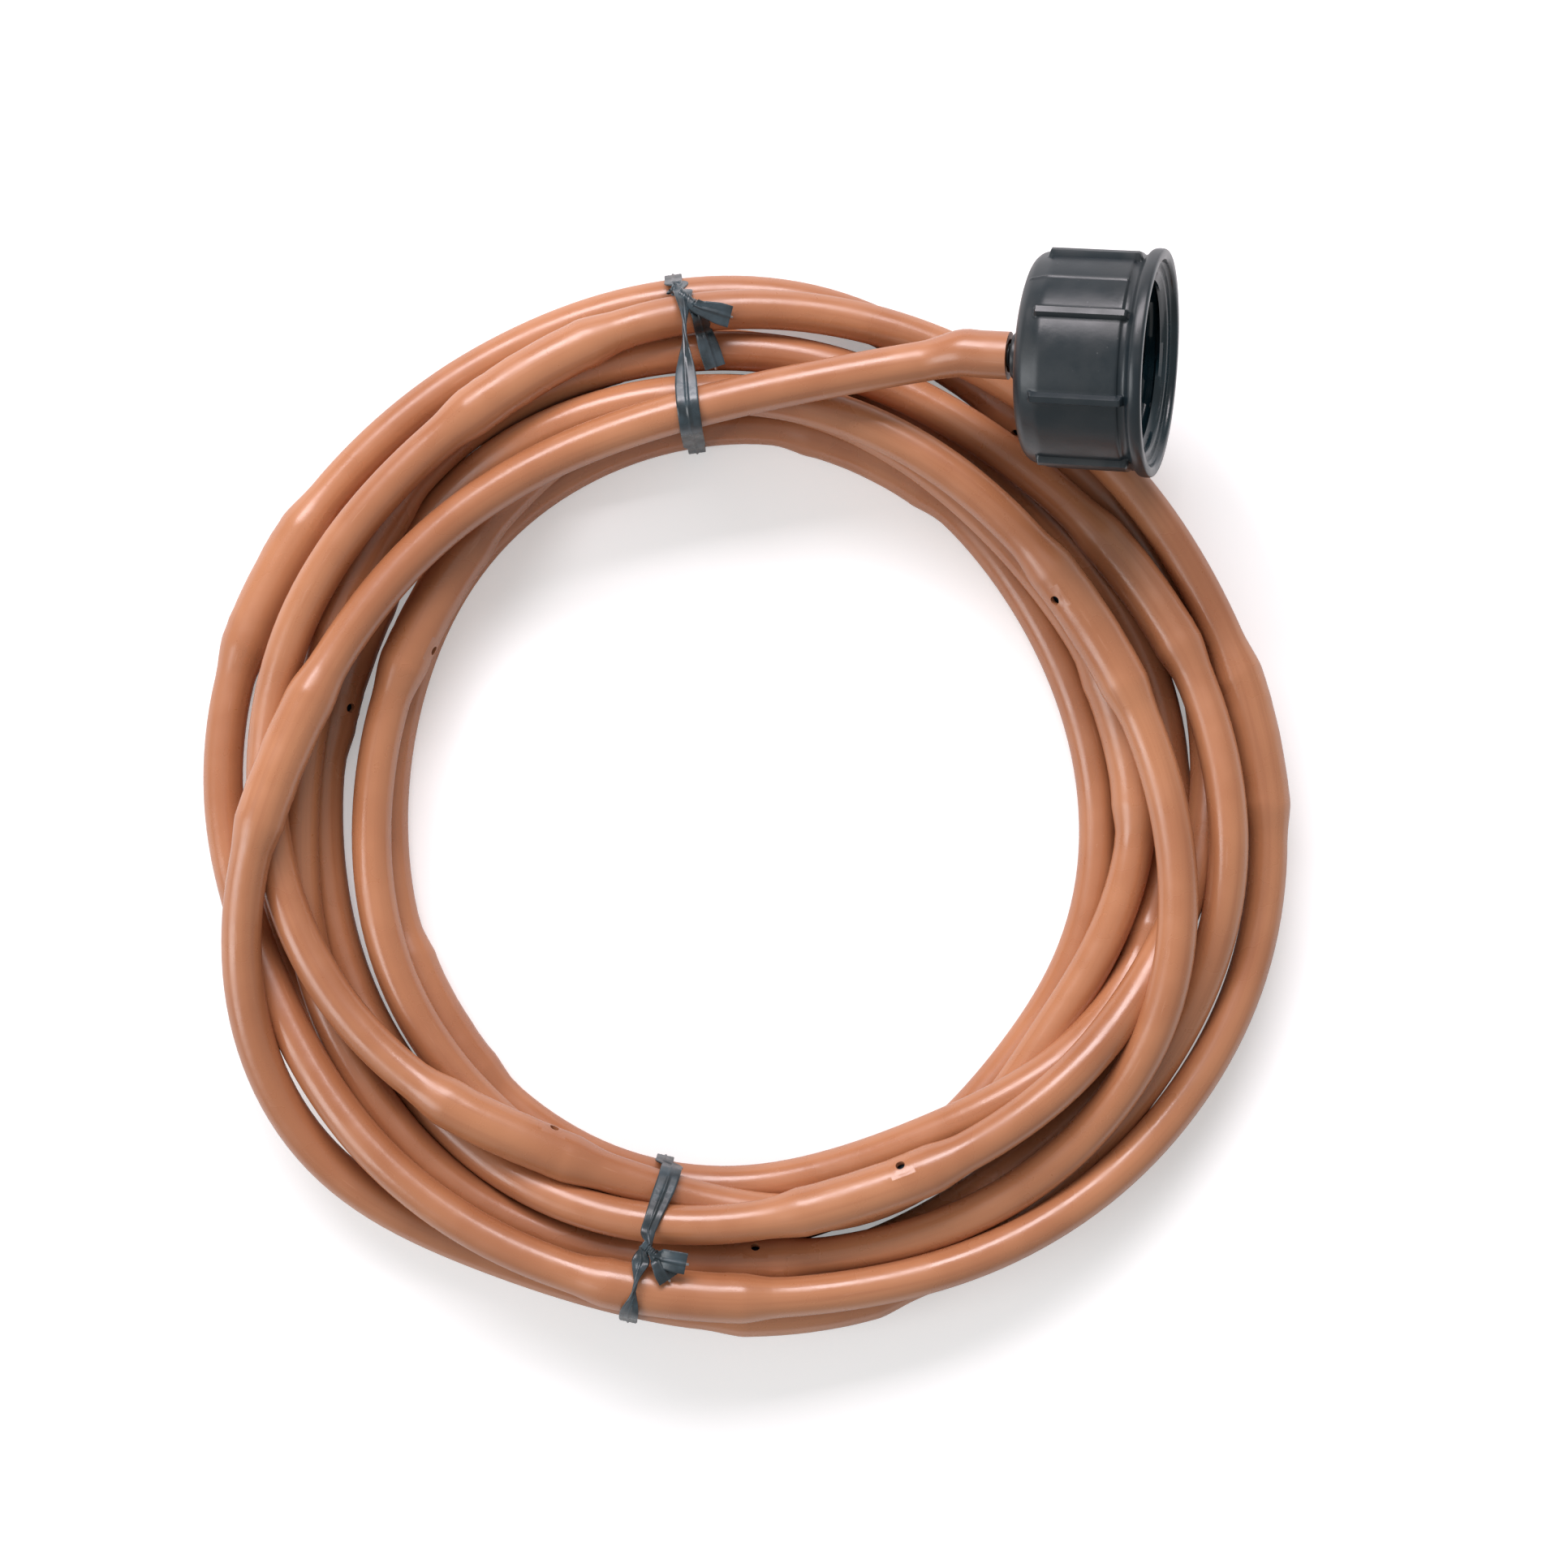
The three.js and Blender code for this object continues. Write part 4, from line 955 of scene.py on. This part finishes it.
def make_tailpiece():
    flange = NUT_BACK + TOUCH_GAP
    collar = -TOUCH_GAP - COLLAR_LENGTH - COLLAR_SHOWS
    barbs = []
    for k in range(4):
        low = collar - 8 + k * 2
        barbs += [(1.55, low), (1.9, low + 1.85), (1.55, low + 1.95)]
    corners = [(1.0, collar - 8), *barbs, (1.6, collar + 0.3), (3.4, collar + 0.3),
               (3.6, collar + 0.6), (3.6, -TOUCH_GAP - 0.3), (3.4, -TOUCH_GAP),
               (4.7, -TOUCH_GAP), (4.7, flange),
               (12.0, flange), (12.0, flange + FLANGE_THICK), (4.0, flange + FLANGE_THICK),
               (1.0, flange + FLANGE_THICK - 3)]
    profile = rounded(corners, 0.18, 3)
    points, faces = lathe(profile, 72, NUT_AXIS, NUT_ORIGIN)
    piece = new_piece("barbed_tail", points, faces, [TAIL_FINISH], COIL)
    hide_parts("barbed_tailpiece")


def make_washer():
    seat = NUT_BACK + FLANGE_THICK + 2 * TOUCH_GAP
    top = seat + WASHER_THICK
    corners = [(8.2, seat), (12.2, seat), (12.2, top), (10.9, top), (10.6, top - 0.25),
               (9.8, top - 0.25), (9.5, top), (8.2, top)]
    points, faces = lathe(rounded(corners, 0.4, 4), 96, NUT_AXIS, NUT_ORIGIN)
    piece = new_piece("flat_washer", points, faces, [RUBBER_FINISH], COIL)
    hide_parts("hose_washer")


def make_screen():
    """A rimmed disc of crossed wires: one bar is repeated across it, cut to the disc, both ways."""
    seat = NUT_BACK + FLANGE_THICK + 2 * TOUCH_GAP + 0.6
    tree = Tree("screen_wires", Bars=17, Reach=7.2, Spacing=0.82, Thickness=0.2)
    count = tree.node("FunctionNodeFloatToInt", tree.size("Bars"))
    spacing = tree.size("Spacing")
    first = tree.times(spacing, tree.over(tree.minus(1.0, tree.size("Bars")), 2.0))
    line = tree.node("GeometryNodeMeshLine", mode="OFFSET", count_mode="TOTAL")
    tree.fill(line, Count=count.outputs[0], Start_Location=tree.vector(0.0, first, 0.0),
              Offset=tree.vector(0.0, spacing, 0.0))
    bar = tree.node("GeometryNodeMeshCylinder")
    tree.fill(bar, Vertices=6, Radius=tree.size("Thickness"), Depth=1.0)
    laid = tree.node("GeometryNodeTransform", bar.outputs["Mesh"])
    tree.fill(laid, Rotation=(0, math.pi / 2, 0))
    _, y, _, _, _ = tree.position()
    chord = tree.math("SQRT", tree.minus(tree.math("POWER", tree.size("Reach"), 2.0),
                                         tree.math("POWER", y, 2.0)))
    spread = tree.node("GeometryNodeInstanceOnPoints", line.outputs["Mesh"])
    tree.fill(spread, Instance=laid.outputs["Geometry"],
              Scale=tree.vector(tree.times(chord, 2.0), 1.0, 1.0))
    bars = spread.outputs["Instances"]
    crossed = tree.node("GeometryNodeTransform", bars)
    tree.fill(crossed, Rotation=(0, 0, math.pi / 2), Translation=(0, 0, 0.28))
    joined = tree.node("GeometryNodeJoinGeometry")
    for part in (tree.given.outputs["Mesh"], bars, crossed.outputs["Geometry"]):
        tree.put(part, joined.inputs[0])
    tree.end(joined.outputs[0], DEEP_FINISH)
    rim = rounded([(7.0, -0.35), (7.7, -0.35), (7.7, 0.6), (7.0, 0.6)], 0.2, 3)
    mesh = tree.run(*lathe(rim, 72, (0, 0, 1), (0, 0, 0)))
    matrix = nut_frame() @ Matrix.Translation((0, 0, seat + 0.4))
    piece = finished(mesh, "inlet_screen", matrix, COIL, DEEP_FINISH)
    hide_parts("filter_screen")


# ---------------- the ties

TIE_WIDTH = 3.5
TIE_PLIES = 0.34
TIE_CLEAR = 0.55
STRANDS_APART = 0.62
TWIST_TURNS = 2.25


FINE_ROUTE = smooth_route(np.arange(0, HOSE_LENGTH, 0.5))
FINE_RADII = np.interp(np.arange(0, HOSE_LENGTH, 0.5), ALONG, ROUTE_RADII)


def above_hose(spot, angle, clear):
    """A place in a tie's own frame, lifted where it must be to clear the turns below it."""
    y, x = about_tie(spot, angle)
    square = FINE_RADII**2 - (FINE_ROUTE[:, 0] - x) ** 2 - (FINE_ROUTE[:, 1] - y) ** 2
    over = square > 0
    top = (FINE_ROUTE[over, 2] + np.sqrt(square[over])).max() if over.any() else 0.0
    return [spot[0], spot[1], max(spot[2], top + clear)]


def taut_outline(angle):
    """Where a tie pulled tight round the turns runs, as (radial, height) every half millimetre,
    against the clock from its outermost point."""
    across, outward = about_tie(ROUTE, angle)
    near = (np.abs(across) < TIE_WIDTH * 0.8) & (outward > 0)
    u, z = outward[near], ROUTE[near, 2]
    r = ROUTE_RADII[near] + TIE_CLEAR
    d = np.linspace(0, 2 * math.pi, 240, endpoint=False)
    way = np.stack([np.cos(d), np.sin(d)], 1)
    best = (u[None] * way[:, :1] + z[None] * way[:, 1:] + r[None]).argmax(1)
    hull = np.stack([u[best], z[best]], 1) + way * r[best][:, None]
    hull[:, 1] = np.maximum(hull[:, 1], TIE_PLIES + 0.1)
    loop = np.vstack([hull, hull[:1]])
    run = distances(loop)
    return resampled(loop, run, np.linspace(0, run[-1], int(run[-1] / 0.5), endpoint=False))


def spline(rows, step=0.35):
    """Rows of numbers, the first three a place, run through by an even smooth line."""
    fine = cubic(rows, np.arange(12 * (len(rows) - 1) + 1) / 12)
    run = distances(fine[:, :3])
    return resampled(fine, run, np.linspace(0, run[-1], int(run[-1] / step)))


def ribbon_rows(tie):
    """The tie's own line: place, the way of its width, and its width, from tail to tail."""
    outline = taut_outline(tie["angle"])
    upper = outline[:, 1] > np.median(outline[:, 1])
    near = np.abs(outline[:, 0] - tie["knot"]) + 100 * ~upper
    start = int(near.argmin())
    band = np.roll(outline, -start, axis=0)
    crest = np.array([band[0, 0], 0.0, band[0, 1] + 0.75])
    axis = unit(tie["twist"])
    side = unit(np.cross(axis, [0, 0, 1]))
    top = np.cross(side, axis)
    length = tie["twist_length"]

    def strand(phase):
        rows = []
        for t in np.linspace(0, 1, 26):
            a = phase + TWIST_TURNS * 2 * math.pi * t
            out = math.cos(a) * side + math.sin(a) * top
            flat = unit(axis * 0.85 + np.cross(axis, out))
            spread = STRANDS_APART * (1 - 0.25 * math.sin(math.pi * t))
            middle = above_hose(crest + axis * (0.3 + t * length), tie["angle"], 0.9)
            rows.append([*(middle + out * spread), *flat, TIE_WIDTH * tie["bunch"]])
        return rows

    round_rows = []
    for k in range(4, len(band) - 3, 3):
        u, z = band[k]
        before, after = band[k - 2], band[(k + 2) % len(band)]
        tangent = unit(np.array([after[0] - before[0], 0, after[1] - before[1]]))
        normal = np.array([tangent[2], 0, -tangent[0]])
        over = z > np.median(outline[:, 1])
        turn, lift, width = tie["turns"](u, k / len(band)) if over else (0, 0, TIE_WIDTH * 0.8)
        flat = math.cos(turn) * np.array([0, 1.0, 0]) + math.sin(turn) * normal
        slant = tie["slant"](u) if over else 0
        round_rows.append([u + normal[0] * lift, slant, z + normal[2] * lift, *flat, width])
    first, second = tie["tails"]
    leave = crest + axis * (length + 0.9)
    rows = [*tail_rows(tie, leave, crest, first)[::-1], *strand(0)[::-1], *round_rows,
            *strand(math.pi), *tail_rows(tie, leave, crest, second)]
    rows = np.array(rows, float)
    for k in range(1, len(rows)):
        if rows[k, 3:6] @ rows[k - 1, 3:6] < 0:
            rows[k, 3:6] *= -1
    return rows


def tail_rows(tie, start, crest, tail):
    """A loose end: it leaves the twist, opens out flat and lies over the turns below."""
    end = crest + np.array(tail["end"])
    rows = []
    for t in np.linspace(0.12, 1, 8):
        along = start + (end - start) * t + np.array([0, 0, tail["arch"] * math.sin(math.pi * t)])
        flat = unit(np.cross(end - start, tail["faces"]))
        width = TIE_WIDTH * (tail["narrow"] + (1 - tail["narrow"]) * min(1, t * 1.5))
        rows.append([*above_hose(along, tie["angle"], tail["clear"]), *flat, width])
    return rows


def ribbon_section():
    """Half widths and heights round a ribbon: thin wings, a raised wire, and fine ribs."""
    half = np.array([0, 0.08, 0.17, 0.34, 0.52, 0.66, 0.8, 0.97, 1])
    thick = np.array([2.0, 1.75, 0.85, 0.78, 1.0, 0.8, 1.0, 0.75, 0.4])
    across = np.r_[-half[:0:-1], half]
    height = np.r_[thick[:0:-1], thick] * TIE_PLIES / 2
    return np.r_[across, across[::-1]], np.r_[height, -height[::-1]]


def make_tie(tie):
    a = math.radians(tie["angle"])
    to_coil = np.array([[math.cos(a), math.sin(a), 0], [math.sin(a), -math.cos(a), 0], [0, 0, 1]])
    rows = spline(ribbon_rows(tie))
    middles = rows[:, :3]
    tangent = unit(np.gradient(middles, axis=0))
    flat = unit(rows[:, 3:6] - tangent * (rows[:, 3:6] * tangent).sum(1)[:, None])
    normal = np.cross(flat, tangent)
    across, height = ribbon_section()
    points = (middles[:, None] + flat[:, None] * (across[None] * rows[:, 6:7] / 2)[..., None]
              + normal[:, None] * height[None, :, None])
    count, columns = len(rows), len(across)
    faces = [*grid_faces(count, columns)]
    faces += [tuple(range(columns))[::-1], tuple((count - 1) * columns + k for k in range(columns))]
    points = points.reshape(-1, 3)
    wires = -len(faces)
    stub = [(0, -0.5), (0.22, -0.5), (0.24, 0.35), (0.17, 0.45), (0, 0.47)]
    for row, way in ((0, -1), (-1, 1)):
        ring, sides = lathe_open(stub, 10, tangent[row] * way, middles[row])
        faces += [tuple(i + len(points) for i in f) for f in sides]
        points = np.vstack([points, ring])
    wires += len(faces)
    piece = new_piece(tie["name"], points @ to_coil, faces, [TIE_FINISH, WIRE_FINISH], COIL, 50)
    for polygon in list(piece.data.polygons)[-wires:]:
        polygon.material_index = 1
    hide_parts(tie["replaces"])


def lathe_open(profile, sides, axis, origin):
    """A solid of revolution whose profile starts and ends on its axis."""
    profile = np.asarray(profile, float)
    inner = profile[1:-1]
    points = turned(inner, sides, unit(np.cross(axis, [0.3, 0.2, 1.0])), axis, origin)
    ends = np.asarray(origin) + profile[[0, -1], 1:] * np.asarray(axis)
    faces = [tuple(f) for f in grid_faces(len(inner), sides)]
    low, high = len(points), len(points) + 1
    last = (len(inner) - 1) * sides
    for k in range(sides):
        faces.append((low, (k + 1) % sides, k))
        faces.append((high, last + k, last + (k + 1) % sides))
    return np.vstack([points, ends]), faces


def half_turn(u, low, high):
    """How far a ribbon has turned over between two distances, in radians."""
    return math.pi * float(ramp(u, low, high))


def top_turns(u, share):
    """Turn, lift and width of the top tie, which turns over between its knot and the inner edge."""
    if share > 0.5:
        return 0.0, 0.0, TIE_WIDTH * (1 - 0.4 * float(ramp(share, 0.7, 0.95)))
    turn = half_turn(u, 65.5, 84.5)
    edge = math.sin(turn)
    return turn, 0.9 * edge, TIE_WIDTH * (1 - 0.62 * edge)


def bottom_turns(u, share):
    """The bottom tie narrows to its knot, and turns over past it."""
    if share > 0.5:
        turn = half_turn(u, 82.0, 72.0)
        edge = math.sin(turn)
        return turn, 0.7 * edge, TIE_WIDTH * (0.85 - 0.5 * edge)
    return 0.0, 0.0, TIE_WIDTH * (0.95 - 0.3 * float(ramp(u, 61.0, 69.0)))


TIES = [
    {"name": "ribbon_tie_top", "replaces": "twist_tie_top", "angle": TOP_TIE_ANGLE, "knot": 82.6,
     "twist": (-0.75, 0.60, 0.1), "twist_length": 4.1, "bunch": 0.62, "turns": top_turns,
     "slant": lambda u: 1.5 * float(ramp(u, 62, 82)) - 0.2,
     "tails": [{"end": (-6.0, 8.2, 1.6), "arch": 0.5, "faces": (0.1, -0.25, 1), "narrow": 0.6,
                "clear": 1.5},
               {"end": (-13.2, 4.8, 0.1), "arch": 0.3, "faces": (-0.1, 0.35, 1), "narrow": 0.6,
                "clear": 0.6}]},
    {"name": "ribbon_tie_bottom", "replaces": "twist_tie_bottom", "angle": BOTTOM_TIE_ANGLE,
     "knot": 70.6, "twist": (0.5, -0.85, 0.1), "twist_length": 1.8, "bunch": 0.5,
     "turns": bottom_turns, "slant": lambda u: -1.4 * float(ramp(u, 70, 58)),
     "tails": [{"end": (1.2, -7.0, 1.3), "arch": 0.4, "faces": (0.2, 0.1, 1), "narrow": 0.9,
                "clear": 1.5},
               {"end": (4.3, -4.9, 0.3), "arch": 0.2, "faces": (-0.2, -0.3, 1), "narrow": 0.7,
                "clear": 0.6}]},
]

make_nut()
make_tailpiece()
make_washer()
make_screen()
for tie in TIES:
    make_tie(tie)
